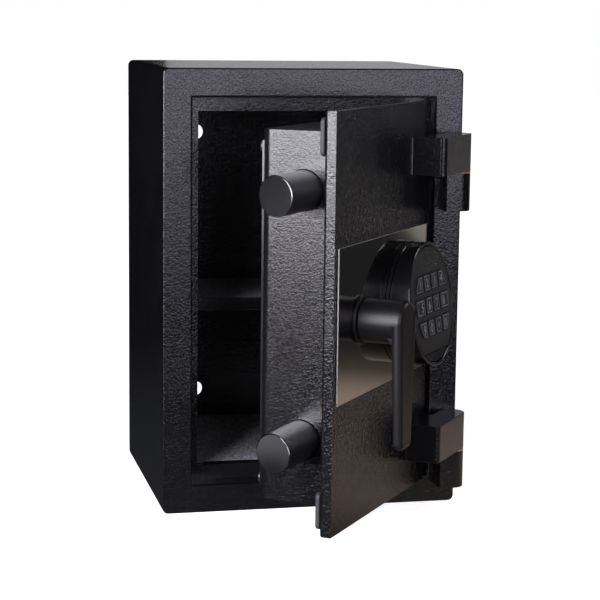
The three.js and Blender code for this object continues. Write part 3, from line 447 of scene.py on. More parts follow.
def frame_shape():
    """The front frame: a narrow round outside, and the wider one of a fold at the opening."""
    shape = from_node("front_frame")
    spots = [vert.co.copy() for vert in shape.verts]
    left, right = min(spot.x for spot in spots), max(spot.x for spot in spots)
    low, high = min(spot.z for spot in spots), max(spot.z for spot in spots)
    front = min(spot.y for spot in spots)

    def at_front(edge):
        return max(vert.co.y for vert in edge.verts) < front + NEAR

    def is_fold(edge):
        middle = (edge.verts[0].co + edge.verts[1].co) / 2
        inside = left + FRAME_MARGIN < middle.x < right - FRAME_MARGIN
        return inside and low + FRAME_MARGIN < middle.z < high - FRAME_MARGIN

    def is_outline(edge):
        return at_front(edge) and not is_fold(edge)

    round_sharp(shape, FOLD_ROUND, 5, lambda edge: at_front(edge) and is_fold(edge))
    round_sharp(shape, FRAME_ROUND, 4, is_outline, clamp=False)
    return shape


make_piece("body_front_frame", frame_shape(), BODY_PLACE, "safe_body", [paint],
           nodes=("front_frame",))

for node, name, width in [
    ("body_wrap", "body_sides", 0.05 * MM),
    ("back_panel", "body_back", 0.9 * MM),
    ("stop_frame", "body_stop_frame", 0.5 * MM),
    ("shelf_rail_left", "body_rail_left", 0.4 * MM),
    ("shelf_rail_right", "body_rail_right", 0.4 * MM),
    ("hinge_body_block_upper", "hinge_body_upper", 0.7 * MM),
    ("hinge_body_block_lower", "hinge_body_lower", 0.7 * MM),
]:
    dressed_copy(node, name, "safe_body", paint, width)

for node, name, width in [
    ("floor_pan", "body_floor", 0.8 * MM),
    ("shelf", "body_shelf", 0.7 * MM),
]:
    shape = round_sharp(from_node(node), width)
    second_finish(shape, lambda face: face.normal.z > FACING)
    make_piece(name, shape, BODY_PLACE, "safe_body", [paint, flock], nodes=(node,))
print("floor and shelf flocked")

# %% [markdown]
# The door is an 8 mm plate with a narrow round at its front and a wide one on its outline at
# the back. The case of the boltwork stands behind it, under a screwed cover.

# %% Door plate and case cover
PLATE_THICKNESS = 8 * MM
PLATE_FRONT_ROUND = 0.8 * MM
PLATE_BACK_ROUND = 2.4 * MM
LONG_EDGE = 50 * MM
SQUARE_EDGE = radians(60)


def plate_shape():
    """The door plate in the door's place, with a wider round on its outline at the back."""
    shape = from_node("door_plate", DOOR_PLACE)

    def at_back(edge):
        deep = min(vert.co.y for vert in edge.verts) > PLATE_THICKNESS - NEAR
        return deep and edge.calc_length() > LONG_EDGE

    def is_square(edge):
        return edge.calc_face_angle(0) > SQUARE_EDGE

    round_sharp(shape, PLATE_BACK_ROUND, 5, at_back, clamp=False)
    round_sharp(shape, PLATE_FRONT_ROUND, 3, is_square)
    return shape


shape = plate_shape()
second_finish(shape, lambda face: face.normal.y < -FACING)
make_piece("door_leaf", shape, DOOR_PLACE, "door", [paint, door_paint],
           nodes=("door_plate",))
dressed_copy("case_cover", "door_case_cover", "door", cover_black, 0.5 * MM)

# %% [markdown]
# The hinge blocks are welded on top of the plate, with a thin bead of weld along each foot.

# %% Weld beads
BLOCK_LOWS = {"upper": 240 * MM, "lower": 42 * MM}
BLOCK_HEIGHT = 26 * MM
BLOCK_REACH = 51.8 * MM
BEAD_RADIUS = 1.2 * MM
BEAD_DEPTH = -0.1 * MM
BEAD_SHORTER = 1 * MM

for name, low in BLOCK_LOWS.items():
    shape = bmesh.new()
    middle = Matrix.Translation((-BLOCK_REACH, BEAD_DEPTH, low + BLOCK_HEIGHT / 2))
    bmesh.ops.create_cone(shape, cap_ends=True, segments=24, radius1=BEAD_RADIUS,
                          radius2=BEAD_RADIUS, depth=BLOCK_HEIGHT - BEAD_SHORTER, matrix=middle)
    make_piece(f"hinge_weld_{name}", shape, DOOR_PLACE, "door", [cover_black])
print(len(BLOCK_LOWS), "weld beads")

# %% [markdown]
# The bolt case is folded from 2 mm sheet, so its folds have a wide round. The ends of the
# hinge blocks towards the door's free edge and their tops lie in the shade, and a copy of the
# paint that shines much less paints that shade on them.

# %% Bolt case and hinge blocks
BLOCK_ROUND = 0.9 * MM

dressed_copy("bolt_case", "door_bolt_case", "door", case_paint, 1.7 * MM)

for name in BLOCK_LOWS:
    node = f"hinge_door_block_{name}"
    shape = round_sharp(from_node(node, DOOR_PLACE), BLOCK_ROUND)
    # The ends towards the free edge and the tops take the second copy, as painted shade.
    second_finish(shape, lambda face: face.normal.x < -FACING or face.normal.z > FACING)
    make_piece(f"hinge_door_{name}", shape, DOOR_PLACE, "door", [block_paint, block_painted_shade],
               nodes=(node,))

# %% [markdown]
# The trim plate's faces are mirrors and its thin edges are duller. Two rubber pads on the
# door's inner side meet the stop frame.

# %% Trim plate and door pads
TRIM_ROUND = 0.2 * MM
TRIM_FACING = 0.95
PAD_ROUND = 0.8 * MM

shape = round_sharp(from_node("trim_plate", DOOR_PLACE), TRIM_ROUND, 2)
second_finish(shape, lambda face: abs(face.normal.y) < TRIM_FACING)
make_piece("door_trim", shape, DOOR_PLACE, "door", [trim_mirror, trim_edge],
           nodes=("trim_plate",))
dressed_copy("door_pad_upper", "door_pad_top", "door", pad_rubber, PAD_ROUND)
dressed_copy("door_pad_lower", "door_pad_bottom", "door", pad_rubber, PAD_ROUND)

# %% [markdown]
# Turned parts are drawn as half of their outline. A helper spins it round z, closes the poles
# by merging doubles and moves the part to its place. Normals are made to point outwards
# afterwards, since a spin can leave them pointing in.

# %% Helpers for turned parts
def turned(outline, steps, place):
    """Spins (radius, height) points round z and moves the result by place."""
    shape = bmesh.new()
    points = [shape.verts.new((radius, 0, height)) for radius, height in outline]
    edges = [shape.edges.new(pair) for pair in zip(points, points[1:])]
    bmesh.ops.spin(shape, geom=points + edges, cent=(0, 0, 0), axis=(0, 0, 1), angle=2 * pi,
                   steps=steps, use_merge=True)
    bmesh.ops.remove_doubles(shape, verts=shape.verts, dist=0.001 * MM)
    bmesh.ops.transform(shape, matrix=place, verts=shape.verts)
    bmesh.ops.recalc_face_normals(shape, faces=shape.faces)
    return shape


def soft_corner(radius, height, size, start, steps=3):
    """Points of a quarter round about a centre, from an angle in degrees on."""
    return [
        (
            radius + size * cos(radians(start + 90 * step / steps)),
            height + size * sin(radians(start + 90 * step / steps)),
        )
        for step in range(steps + 1)
    ]


def along_door(x, z):
    """Takes a part spun round z to one spun round the door's depth, through (x, z)."""
    return Matrix.Translation((x, 0, z)) @ Matrix.Rotation(radians(-90), 4, "X")

# %% [markdown]
# A brass washer lies under each of the door's hinge blocks and shows as a thin bright line.

# %% Hinge washers
WASHER_RADIUS = 8.8 * MM
WASHER_BORE = 4.3 * MM
WASHER_THICKNESS = 1.2 * MM
WASHER_ROUND = 0.3 * MM
WASHER_BELOW_BLOCK = 1.5 * MM

for name, block_low in BLOCK_LOWS.items():
    low = block_low - WASHER_BELOW_BLOCK
    high = low + WASHER_THICKNESS
    rim = WASHER_RADIUS - WASHER_ROUND
    outline = [
        (WASHER_BORE, low),
        *soft_corner(rim, low + WASHER_ROUND, WASHER_ROUND, start=-90, steps=2),
        *soft_corner(rim, high - WASHER_ROUND, WASHER_ROUND, start=0, steps=2),
        (WASHER_BORE, high),
        (WASHER_BORE, low),
    ]
    shape = turned(outline, 48, Matrix.Translation(HINGE_AXIS))
    make_piece(f"washer_{name}", shape, BODY_PLACE, "safe_body", [washer_brass],
               nodes=(f"hinge_washer_{name}",))
print("two brass washers")

# %% [markdown]
# The bolts are 26 mm bars with ends cut a little out of square, so that they don't catch the
# frame, and a narrow soft chamfer that shines as a bright ring. The bar is spun too long, a
# plane cuts its end, and a bevel on the cut's rim is the chamfer. The bar's side is turned and
# its ends are polished. The side also takes a lighter copy of the nickel, which is painted light.

# %% Bolts
BOLT_RADIUS = 13 * MM
BOLT_DEPTH = 34.2 * MM
BOLT_ROOT = 122.2 * MM
BOLT_TIP = 198.4 * MM
BOLT_SPARE = 6 * MM
BOLT_CUT = radians(14)
BOLT_CHAMFER = 0.8 * MM
BOLT_HEIGHTS = {"upper": 236.8 * MM, "lower": 74.9 * MM}
ALONG_BOLT = 0.1


def bolt_bar(height):
    """One bolt along the door's -x, with its slanted, chamfered end."""
    end = BOLT_TIP + BOLT_SPARE
    outline = [(0, BOLT_ROOT), (BOLT_RADIUS, BOLT_ROOT), (BOLT_RADIUS, end), (0, end)]
    lay_down = Matrix.Translation((0, BOLT_DEPTH, height)) @ Matrix.Rotation(radians(-90), 4, "Y")
    shape = turned(outline, 72, lay_down)
    facing = Vector((-cos(BOLT_CUT), sin(BOLT_CUT), 0))
    rim = cut_off(shape, (-BOLT_TIP, BOLT_DEPTH, height), facing)
    bmesh.ops.contextual_create(shape, geom=rim)
    bevel_edges(shape, rim, BOLT_CHAMFER, 3)
    # The sides take the lighter, rougher copy, whose lightness is painted light.
    second_finish(shape, lambda face: abs(face.normal.x) < ALONG_BOLT)
    return shape


for name, height in BOLT_HEIGHTS.items():
    piece = make_piece(f"bolt_bar_{name}", bolt_bar(height), DOOR_PLACE, "bolts",
                       [bolt_nickel, bolt_side_painted_light], nodes=(f"bolt_{name}",), smooth=30)
    print(piece.name, len(piece.data.polygons), "faces")

# %% [markdown]
# The handle is a cast hub with a lever in front of it. Casting leaves soft edges: a wide round
# along the lever's front, a narrower one along its back and a small one behind the hub. Where
# hub and lever meet there is a hollow fillet. A bevel fails at that concave junction, so the
# fillet is a spun ring of its own, cut to the lever's width and to the half below the hub's
# middle.

# %% Handle
HANDLE_X = -142 * MM
HANDLE_Z = 154.8 * MM
HUB_RADIUS = 14.2 * MM
HUB_BACK_ROUND = 0.8 * MM
LEVER_FRONT = -34.0 * MM
LEVER_BACK = -27.4 * MM
LEVER_FRONT_ROUND = 3.1 * MM
LEVER_BACK_ROUND = 2.4 * MM
LEVER_TAPER = radians(3.5)
FILLET = 5.0 * MM
FILLET_STEPS = (90, 75, 60, 45, 30, 15, 0)
FILLET_INTO_HUB = 0.8 * MM
FILLET_INTO_LEVER = 1 * MM


def handle_shape():
    """The hub and lever in the door's place, with soft edges."""
    shape = from_node("handle", DOOR_PLACE)
    centre = Vector((HANDLE_X, 0, HANDLE_Z))

    def lies_at(edge, depth):
        return all(abs(vert.co.y - depth) < NEAR for vert in edge.verts)

    def on_hub(edge):
        spots = [Vector((vert.co.x, 0, vert.co.z)) for vert in edge.verts]
        return all((spot - centre).length < HUB_RADIUS + NEAR for spot in spots)

    def on_lever_back(edge):
        return lies_at(edge, LEVER_BACK) and not on_hub(edge)

    round_sharp(shape, LEVER_FRONT_ROUND, 5, lambda edge: lies_at(edge, LEVER_FRONT), clamp=False)
    round_sharp(shape, LEVER_BACK_ROUND, 4, on_lever_back, clamp=False)
    hub_back = max(vert.co.y for vert in shape.verts)
    round_sharp(shape, HUB_BACK_ROUND, 3, lambda edge: lies_at(edge, hub_back), clamp=False)
    bmesh.ops.recalc_face_normals(shape, faces=shape.faces)
    return shape


def fillet_shape():
    """The hollow fillet under the hub: a spun ring, cut off just inside the lever's sides."""
    inside = HUB_RADIUS - FILLET_INTO_HUB
    base = LEVER_BACK - FILLET_INTO_LEVER
    outer = HUB_RADIUS + FILLET
    top = LEVER_BACK + FILLET
    hollow = [
        (outer - FILLET * sin(radians(angle)), top - FILLET * cos(radians(angle)))
        for angle in FILLET_STEPS
    ]
    outline = [(inside, base), (inside, top), *hollow, (outer, base), (inside, base)]
    shape = turned(outline, 64, along_door(HANDLE_X, HANDLE_Z))
    reach = HUB_RADIUS - LEVER_BACK_ROUND
    cuts = [
        ((HANDLE_X + side * reach, 0, HANDLE_Z), (side * cos(LEVER_TAPER), 0, -sin(LEVER_TAPER)))
        for side in (-1, 1)
    ]
    cuts.append(((0, 0, HANDLE_Z), (0, 0, 1)))
    for point, facing in cuts:
        bmesh.ops.holes_fill(shape, edges=cut_off(shape, point, facing))
    bmesh.ops.recalc_face_normals(shape, faces=shape.faces)
    return shape


make_piece("handle_fillet", fillet_shape(), DOOR_PLACE, "handle", [handle_black])
piece = make_piece("handle_lever", handle_shape(), DOOR_PLACE, "handle", [handle_black],
                   nodes=("handle",))
print(piece.name, len(piece.data.polygons), "faces")

# %% [markdown]
# The rosette behind the handle is a thin turned ring with a rounded front edge.

# %% Rosette
ROSETTE_RADIUS = 16 * MM
ROSETTE_BORE = 5.4 * MM
ROSETTE_BACK = -1.6 * MM
ROSETTE_FRONT = -3.6 * MM
ROSETTE_ROUND = 0.5 * MM

rim = ROSETTE_RADIUS - ROSETTE_ROUND
outline = [
    (ROSETTE_BORE, ROSETTE_BACK),
    (ROSETTE_BORE, ROSETTE_FRONT),
    *soft_corner(rim, ROSETTE_FRONT + ROSETTE_ROUND, ROSETTE_ROUND, start=-90),
    (ROSETTE_RADIUS, ROSETTE_BACK),
    (ROSETTE_BORE, ROSETTE_BACK),
]
make_piece("rosette", turned(outline, 72, along_door(HANDLE_X, HANDLE_Z)), DOOR_PLACE, "door",
           [handle_black], nodes=("handle_rosette",))
print("rosette", round(2 * ROSETTE_RADIUS / MM), "mm across")

# %% [markdown]
# The keypad is a round drum cut off at a slope. Its rim is rounded, the face plate lies just
# inside it, and the lower end of the face is a glossy lid.

# %% Keypad drum, face and lid
for node, name, material, width in [
    ("keypad_base", "keypad_foot", keypad_black, 0.4 * MM),
    ("keypad_housing", "keypad_drum", drum_black, 0.9 * MM),
    ("keypad_face", "keypad_plate", keypad_black, 0.15 * MM),
]:
    dressed_copy(node, name, "door", material, width)
dressed_copy("battery_lid", "keypad_lid", "battery_lid", lid_gloss, 0.3 * MM)

# %% [markdown]
# The foil is the face plate's own front, cut off near the top and made into a thin layer.

# %% Keypad foil
FOIL_TOP = 26.5 * MM
FOIL_THICKNESS = 0.12 * MM


def foil_shape():
    """The layer on the face plate's front, up to the foil's top edge."""
    shape = from_node("keypad_face", FACE_PLACE)
    others = [face for face in shape.faces if face.normal.y > -FACING]
    bmesh.ops.delete(shape, geom=others, context="FACES")
    cut_off(shape, (0, 0, FOIL_TOP), (0, 0, 1))
    raised = bmesh.ops.extrude_face_region(shape, geom=shape.faces[:])
    moved = [item for item in raised["geom"] if isinstance(item, bmesh.types.BMVert)]
    bmesh.ops.translate(shape, vec=(0, -FOIL_THICKNESS, 0), verts=moved)
    return shape


make_piece("keypad_foil", foil_shape(), FACE_PLACE, "door", [face_foil],
           smooth=25)
print("foil up to", round(FOIL_TOP / MM, 1), "mm above the middle")

# %% [markdown]
# Each key is a low rubber cap with a pale printed frame and a digit. The frame is two insets
# of the cap's front face: the strip between them gets the ink as its material.

# %% Key caps
KEY_ROUND = 0.45 * MM
KEY_MARGIN = 0.45 * MM
KEY_FRAME_LINE = 0.32 * MM
SIGNS = ["1", "2", "3", "4", "5", "6", "7", "8", "9", "0", "*", "#"]


def key_shape(node):
    """A CAD key in the face's place, with rounded edges and a printed frame."""
    shape = round_sharp(from_node(node, FACE_PLACE), KEY_ROUND)
    fronts = [face for face in shape.faces if face.normal.y < -FACING]
    front = max(fronts, key=lambda face: face.calc_area())
    bmesh.ops.inset_region(shape, faces=[front], thickness=KEY_MARGIN, use_even_offset=True)
    ring = bmesh.ops.inset_region(shape, faces=[front], thickness=KEY_FRAME_LINE,
                                  use_even_offset=True)
    for face in ring["faces"]:
        face.material_index = 1
    return shape


for number, sign in enumerate(SIGNS, start=1):
    piece = make_piece(f"keycap_{number}", key_shape(f"key_{number}"), FACE_PLACE,
                       f"key_{number}", [key_cap, key_ink], nodes=(f"key_{number}",))
print(len(SIGNS), "keys,", len(piece.data.polygons), "faces on the last")

# %% [markdown]
# The digits are text objects, turned into meshes before they are put in place. They stand a
# few hundredths of a millimetre on the caps, as thick ink does. The end columns of keys are
# cut off by the round face, so their digits sit a little nearer to the middle.

# %% Printed digits
KEY_COLUMNS = 4
KEY_PITCH = 14.1 * MM
KEY_ROW_PITCH = 15.2 * MM
KEY_FRONT = -0.6 * MM
END_COLUMN_SHIFT = 0.6 * MM
DIGIT_HEIGHT = 6.0 * MM
DIGIT_SHARE_OF_FONT = 0.69
INK_THICKNESS = 0.03 * MM


def printed_sign(sign, name, x, z):
    """A sign as a thin mesh in the face's place, centred on (x, z)."""
    curve = bpy.data.curves.new(name, "FONT")
    curve.body = sign
    curve.size = DIGIT_HEIGHT / DIGIT_SHARE_OF_FONT
    curve.align_x = "CENTER"
    curve.extrude = INK_THICKNESS
    text = bpy.data.objects.new(name, curve)
    bpy.context.collection.objects.link(text)
    shape = take_result(text)
    heights = [vert.co.y for vert in shape.verts]
    middle = (min(heights) + max(heights)) / 2
    stand = Matrix.Translation((x, KEY_FRONT, z)) @ Matrix.Rotation(radians(90), 4, "X")
    bmesh.ops.translate(shape, vec=(0, -middle, 0), verts=shape.verts)
    bmesh.ops.transform(shape, matrix=stand, verts=shape.verts)
    return shape


shift = {0: END_COLUMN_SHIFT, KEY_COLUMNS - 1: -END_COLUMN_SHIFT}
for number, sign in enumerate(SIGNS):
    row, column = divmod(number, KEY_COLUMNS)
    x = (column - (KEY_COLUMNS - 1) / 2) * KEY_PITCH + shift.get(column, 0)
    z = (1 - row) * KEY_ROW_PITCH
    name = f"key_sign_{number + 1}"
    make_piece(name, printed_sign(sign, name, x, z), FACE_PLACE, f"key_{number + 1}", [key_ink],
               flat_weight=False)
print("digits about", round(DIGIT_HEIGHT / MM, 1), "mm high")

# %% [markdown]
# The status light is a small dark red lens at the upper right of the face, domed at its front.

# %% Status light
LENS_X = 14 * MM
LENS_Z = 25 * MM
LENS_RADIUS = 1.4 * MM
LENS_FRONT = -0.1 * MM
LENS_DOME = 0.5 * MM
LENS_BACK = 3.4 * MM

dome = [
    (LENS_RADIUS * sin(radians(angle)), LENS_FRONT + LENS_DOME * (1 - cos(radians(angle))))
    for angle in (0, 30, 60, 90)
]
outline = [*dome, (LENS_RADIUS, LENS_BACK), (0, LENS_BACK)]
make_piece("status_lens", turned(outline, 32, along_door(LENS_X, LENS_Z)), FACE_PLACE, "door",
           [lens_red], nodes=("status_light",))
print("status light", round(2 * LENS_RADIUS / MM, 1), "mm across")

# %% [markdown]
# The cover is held by four pan-head screws. A head is a spun dome, and its cross recess is
# cut with a Boolean by two crossed bars.

# %% Cover screws
COVER_BACK = 66.3 * MM
HEAD_RADIUS = 4.0 * MM
HEAD_HEIGHT = 1.6 * MM
HEAD_FLATNESS = 0.6
HEAD_STEPS = (89, 75, 60, 42, 22, 0)
SHANK_RADIUS = 1.7 * MM
SHANK_LENGTH = 5 * MM
CROSS_BAR = (4.4 * MM, 1.6 * MM, 0.9 * MM)
SCREW_COLUMNS = (-145.4 * MM, -39.4 * MM)
SCREW_ROWS = (44.5 * MM, 263.0 * MM)


def screw_outline():
    """Half of the outline: the shank from its end, then the head up to its pole."""
    end = COVER_BACK - SHANK_LENGTH
    dome = [
        (
            HEAD_RADIUS * sin(radians(angle)),
            COVER_BACK + HEAD_HEIGHT * cos(radians(angle)) ** HEAD_FLATNESS,
        )
        for angle in HEAD_STEPS
    ]
    return [
        (0, end),
        (SHANK_RADIUS, end),
        (SHANK_RADIUS, COVER_BACK),
        (HEAD_RADIUS, COVER_BACK),
        *dome,
    ]


def cross_shape(x, z):
    """Two crossed bars at the middle of a screw's head."""
    shape = bmesh.new()
    middle = Matrix.Translation((x, COVER_BACK + HEAD_HEIGHT, z))
    for angle in (0, 90):
        bar = bmesh.ops.create_cube(shape, size=1)["verts"]
        turn = Matrix.Rotation(radians(angle), 4, "Y")
        size = Matrix.Diagonal((*CROSS_BAR, 1))
        bmesh.ops.transform(shape, matrix=middle @ turn @ size, verts=bar)
    return shape


def screw_shape(x, z):
    """A pan-head screw with a cross recess, in the door's place."""
    screw = add_object("screw", turned(screw_outline(), 32, along_door(x, z)))
    cross = add_object("cross", cross_shape(x, z))
    recess = screw.modifiers.new("recess", "BOOLEAN")
    recess.operation = "DIFFERENCE"
    recess.solver = "EXACT"
    recess.use_self = True
    recess.object = cross
    shape = take_result(screw)
    bpy.data.objects.remove(cross)
    return shape


screw_places = [(x, z) for x in SCREW_COLUMNS for z in SCREW_ROWS]
for number, (x, z) in enumerate(screw_places, start=1):
    make_piece(f"screw_{number}", screw_shape(x, z), DOOR_PLACE, "door", [zinc],
               nodes=(f"cover_screw_{number}",), smooth=40)
print(len(screw_places), "cover screws")

# %% [markdown]
# The boltwork, the lock and the electronics are hidden inside. Their CAD solids stay as they
# are and only take their finishes. A CAD node's object has material slots to assign to.

# %% Finishes of the hidden parts
hidden = {
    zinc: ["hinge_pin_upper", "hinge_pin_lower", "bolt_plate", "guide_stud_upper",
           "guide_stud_lower", "spindle", "crank", "crank_roller", "spindle_clip", "solenoid",
           "solenoid_bracket", "lock_plunger"],
    board_green: ["keypad_board"],
    cell_wrap: ["battery_pack"],
    lead_sleeve: ["keypad_lead"],
}
for material, names in hidden.items():
    for name in names:
        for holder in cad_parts[name].material_slots:
            holder.material = material
print("hidden parts:", sum(len(names) for names in hidden.values()))

# %% [markdown]
# The studio's materials tell rays apart: what the camera or a reflection sees of the floor
# and the background may be brighter than what lights the safe.

# %% Helpers for the studio
def seen_directly(tree):
    """1 for camera, glossy and transmission rays, 0 for the rays that light things."""
    path = add_node(tree, "ShaderNodeLightPath")
    total = path.outputs["Is Camera Ray"]
    for kind in ("Is Glossy Ray", "Is Transmission Ray"):
        larger = add_node(tree, "ShaderNodeMath", operation="MAXIMUM")
        tree.links.new(total, larger.inputs[0])
        tree.links.new(path.outputs[kind], larger.inputs[1])
        total = larger.outputs["Value"]
    return total


def distance_out(tree, near, far, low, high, course="SMOOTHSTEP"):
    """A value that goes from low to high between two distances from the object's origin."""
    place = add_node(tree, "ShaderNodeTexCoord")
    length = add_node(tree, "ShaderNodeVectorMath", operation="LENGTH")
    tree.links.new(place.outputs["Object"], length.inputs[0])
    return stretch(tree, length.outputs["Value"], (near, far), low, high, course)


def bare_material(name):
    """A new material without a shader, and its tree."""
    material = bpy.data.materials.new(name)
    material.use_nodes = True
    tree = material.node_tree
    tree.nodes.remove(tree.nodes["Principled BSDF"])
    return material, tree


def stage_object(name, shape, material):
    """A piece of the studio, which isn't part of the safe."""
    thing = add_object(name, shape)
    thing.data.materials.append(material)
    return thing

# %% [markdown]
# The safe stands on a plain pale floor against white. The floor is a matt surface with a
# light of its own, a little weaker near the safe, so that it reads as white and still keeps a
# trace of the safe's soft shadow. The world is white to the camera, and lights the safe with
# a small share of that.

# %% Floor and background
FLOOR_SIZE = 12
FLOOR_WHITE = (0.8, 0.8, 0.8, 1)
GLOW_NEAR = 0.8
GLOW_FAR = 1.0
NEAR_THE_SAFE = 0.4
FAR_FROM_IT = 1.0
WORLD_FILL = 0.12


def ground_shape():
    """A square as large as the floor."""
    shape = bmesh.new()
    bmesh.ops.create_grid(shape, x_segments=1, y_segments=1, size=FLOOR_SIZE / 2)
    return shape


def floor_material():
    """Matt white with a glow for the rays that look at the floor."""
    material, tree = bare_material("floor_white")
    matt = add_node(tree, "ShaderNodeBsdfDiffuse", Color=FLOOR_WHITE)
    glow = add_node(tree, "ShaderNodeEmission")
    level = add_node(tree, "ShaderNodeMath", operation="MULTIPLY")
    by_distance = distance_out(tree, NEAR_THE_SAFE, FAR_FROM_IT, GLOW_NEAR, GLOW_FAR)
    tree.links.new(seen_directly(tree), level.inputs[0])
    tree.links.new(by_distance, level.inputs[1])
    tree.links.new(level.outputs["Value"], glow.inputs["Strength"])
    both = add_node(tree, "ShaderNodeAddShader")
    tree.links.new(matt.outputs["BSDF"], both.inputs[0])
    tree.links.new(glow.outputs["Emission"], both.inputs[1])
    tree.links.new(both.outputs["Shader"], tree.nodes["Material Output"].inputs["Surface"])
    return material


stage_object("floor", ground_shape(), floor_material())

world = bpy.data.worlds.new("studio")
bpy.context.scene.world = world
world.use_nodes = True
sky = world.node_tree
background = sky.nodes["Background"]
background.inputs["Color"].default_value = (1, 1, 1, 1)
level = stretch(sky, seen_directly(sky), (0, 1), WORLD_FILL, 1)
sky.links.new(level, background.inputs["Strength"])
print("floor", FLOOR_SIZE, "m across")

# %% [markdown]
# Black gloss paint and mirror steel show what stands round them. In the photograph that is
# mostly dark, so the safe stands in a dark room that only reflections see. Inside it lie and
# stand cards, as a product photographer's do, and each one is there for one reflection:
#
# - The dark table has a warm patch in front of the door, which the lower half of the door's
#   front and of the trim plate mirror.
# - A pale card on the ground, behind at the right, brightens the upper half of that front.
# - A dim card on the ground in front of it keeps the middle of the front from going black.
# - Four narrow upright strips at the right draw the dents in the front's upper half.
# - A pale card on the ground at the left lights the bolts and the foot of the bolt case.
# - A pale card stands far behind, and the top of the body mirrors it.

# %% Levels and corners of the cards
TABLE_CENTRE = (0.3, -0.07)
TABLE_HEIGHT = 0.2 * MM
TABLE_GLOW = [
    (0.0, (0.46, 0.37, 0.32)),
    (0.18, (0.36, 0.285, 0.24)),
    (0.3, (0.08, 0.064, 0.052)),
    (0.4, (0.032, 0.03, 0.03)),
    (0.45, (0.024, 0.0255, 0.028)),
    (0.8, (0.003, 0.003, 0.003)),
]
GROUND_CARD_HEIGHT = 0.4 * MM
PALE_LEVEL = (0.36, 0.33, 0.31)
PALE_CORNERS = [(0.55, 0.31), (2.5, 1.32), (2.5, 2.5), (0.55, 2.5)]
LEFT_GLOW = [(0.4, (0.5, 0.49, 0.51)), (0.8, (0.36, 0.35, 0.37)), (1.4, (0.09, 0.09, 0.095))]
LEFT_CORNERS = [(-2.5, -0.5), (-0.36, -0.4), (-0.36, -0.1), (-2.5, -0.1)]
DIM_LEVEL = (0.022, 0.022, 0.023)
DIM_CORNERS = [(0.78, -0.5), (2.5, -0.5), (2.5, 1.3), (0.78, 0.42)]
ROOM_LEVEL = (0.004, 0.004, 0.0045)
ROOM_SIZE = 5.2
ROOM_HEIGHT = 2.6
WALL_GAP = 0.1
WALL = ROOM_SIZE / 2 - WALL_GAP
BACK_LEVEL = (0.48, 0.48, 0.5)
BACK_LEFT = 0.29
BACK_TOP = 0.9
STRIP_LEVEL = (0.9, 0.9, 0.97)
STRIPS_AT = (0.45, 0.95, 1.45, 1.95)
STRIP_WIDTH = 0.06
STRIP_LOW = 0.02
STRIP_TOP = 1.1
print("warm patch round", TABLE_CENTRE, "and", len(STRIPS_AT), "upright strips")

# %% Cards for the reflections
def card_material(name, glow_at):
    """A faint glow whose colour changes with the distance, in metres, from the card's origin."""
    material, tree = bare_material(name)
    reach = max(1, *[distance for distance, _ in glow_at])
    far = distance_out(tree, 0, reach, 0, 1, "LINEAR")
    ramp = add_node(tree, "ShaderNodeValToRGB")
    points = ramp.color_ramp.elements
    while len(points) < len(glow_at):
        points.new(0.5)
    for point, (distance, colour) in zip(points, glow_at):
        point.position = distance / reach
        point.color = (*colour, 1)
    tree.links.new(far, ramp.inputs["Fac"])
    glow = add_node(tree, "ShaderNodeEmission", Strength=1.0)
    tree.links.new(ramp.outputs["Color"], glow.inputs["Color"])
    tree.links.new(glow.outputs["Emission"], tree.nodes["Material Output"].inputs["Surface"])
    return material


def even(colour):
    """The stops of a glow that is the same all over."""
    return [(0, colour), (1, colour)]


def add_card(name, shape, glow_at):
    """A piece of the studio that every ray but the glossy ones passes by."""
    card = stage_object(name, shape, card_material(name, glow_at))
    card.visible_camera = False
    card.visible_diffuse = False
    card.visible_transmission = False
    card.visible_volume_scatter = False
    card.visible_shadow = False
    return card


def panel_shape(corners):
    """One flat face."""
    shape = bmesh.new()
    shape.faces.new([shape.verts.new(corner) for corner in corners])
    return shape


def room_shape():
    """A box without a floor."""
    shape = bmesh.new()
    middle = Matrix.Translation((0, 0, ROOM_HEIGHT / 2))
    size = Matrix.Diagonal((ROOM_SIZE, ROOM_SIZE, ROOM_HEIGHT, 1))
    bmesh.ops.create_cube(shape, size=1, matrix=middle @ size)
    shape.normal_update()
    ground = [face for face in shape.faces if face.normal.z < -FACING]
    bmesh.ops.delete(shape, geom=ground, context="FACES")
    return shape


table = add_card("dark_table", ground_shape(), TABLE_GLOW)
table.location = (*TABLE_CENTRE, TABLE_HEIGHT)

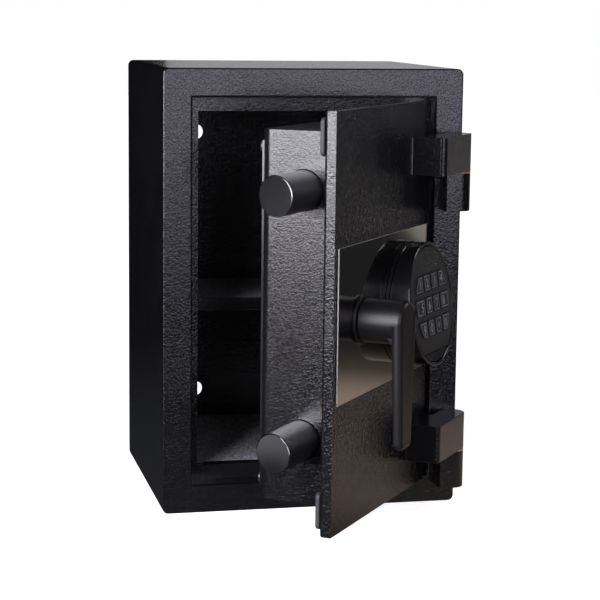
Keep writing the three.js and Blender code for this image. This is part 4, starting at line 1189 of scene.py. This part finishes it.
for name, corners, glow_at in [
    ("pale_card", PALE_CORNERS, even(PALE_LEVEL)),
    ("left_card", LEFT_CORNERS, LEFT_GLOW),
    ("dim_card", DIM_CORNERS, even(DIM_LEVEL)),
]:
    add_card(name, panel_shape([(x, y, GROUND_CARD_HEIGHT) for x, y in corners]), glow_at)

back_corners = [(BACK_LEFT, 0), (WALL, 0), (WALL, BACK_TOP), (BACK_LEFT, BACK_TOP)]
add_card("back_card", panel_shape([(x, WALL, z) for x, z in back_corners]), even(BACK_LEVEL))

for number, near in enumerate(STRIPS_AT, start=1):
    far = near + STRIP_WIDTH
    corners = [(near, STRIP_LOW), (far, STRIP_LOW), (far, STRIP_TOP), (near, STRIP_TOP)]
    strip = panel_shape([(WALL, y, z) for y, z in corners])
    add_card(f"side_card_{number}", strip, even(STRIP_LEVEL))

add_card("dark_room", room_shape(), even(ROOM_LEVEL))
print("dark room", ROOM_SIZE, "m wide")

# %% [markdown]
# Three soft boxes light the safe. The main one stands at the left in front and is aimed high,
# so the light falls off from the top of each surface to its foot. A weaker one stands in
# front, a little to the right, and is aimed high too. The last is a weak one at the right
# that keeps the door's front from going black.

# %% Lights
def soft_box(name, at, towards, side, power, tint=(1, 1, 1)):
    """Adds a square area light that faces a point."""
    data = bpy.data.lights.new(name, "AREA")
    data.shape = "SQUARE"
    data.size = side
    data.energy = power
    data.color = tint
    light = bpy.data.objects.new(name, data)
    bpy.context.collection.objects.link(light)
    aim = (Vector(towards) - Vector(at)).to_track_quat("-Z", "Y")
    light.matrix_world = Matrix.Translation(at) @ aim.to_matrix().to_4x4()


soft_box("key_box", at=(-0.94, -0.88, 0.54), towards=(0.03, -0.2, 0.48), side=0.85, power=34,
         tint=(0.97, 0.95, 1.05))
soft_box("front_box", at=(0.28, -1.4, 0.53), towards=(0.04, -0.09, 0.5), side=0.9, power=7.8,
         tint=(0.95, 0.93, 1.12))
soft_box("right_box", at=(1.1, 0.1, 0.8), towards=(0.05, -0.15, 0.2), side=0.3, power=2.5)
print("three soft boxes")

# %% [markdown]
# The colours are shown as they are worked out, without a film look.

bpy.context.scene.view_settings.view_transform = "Standard"
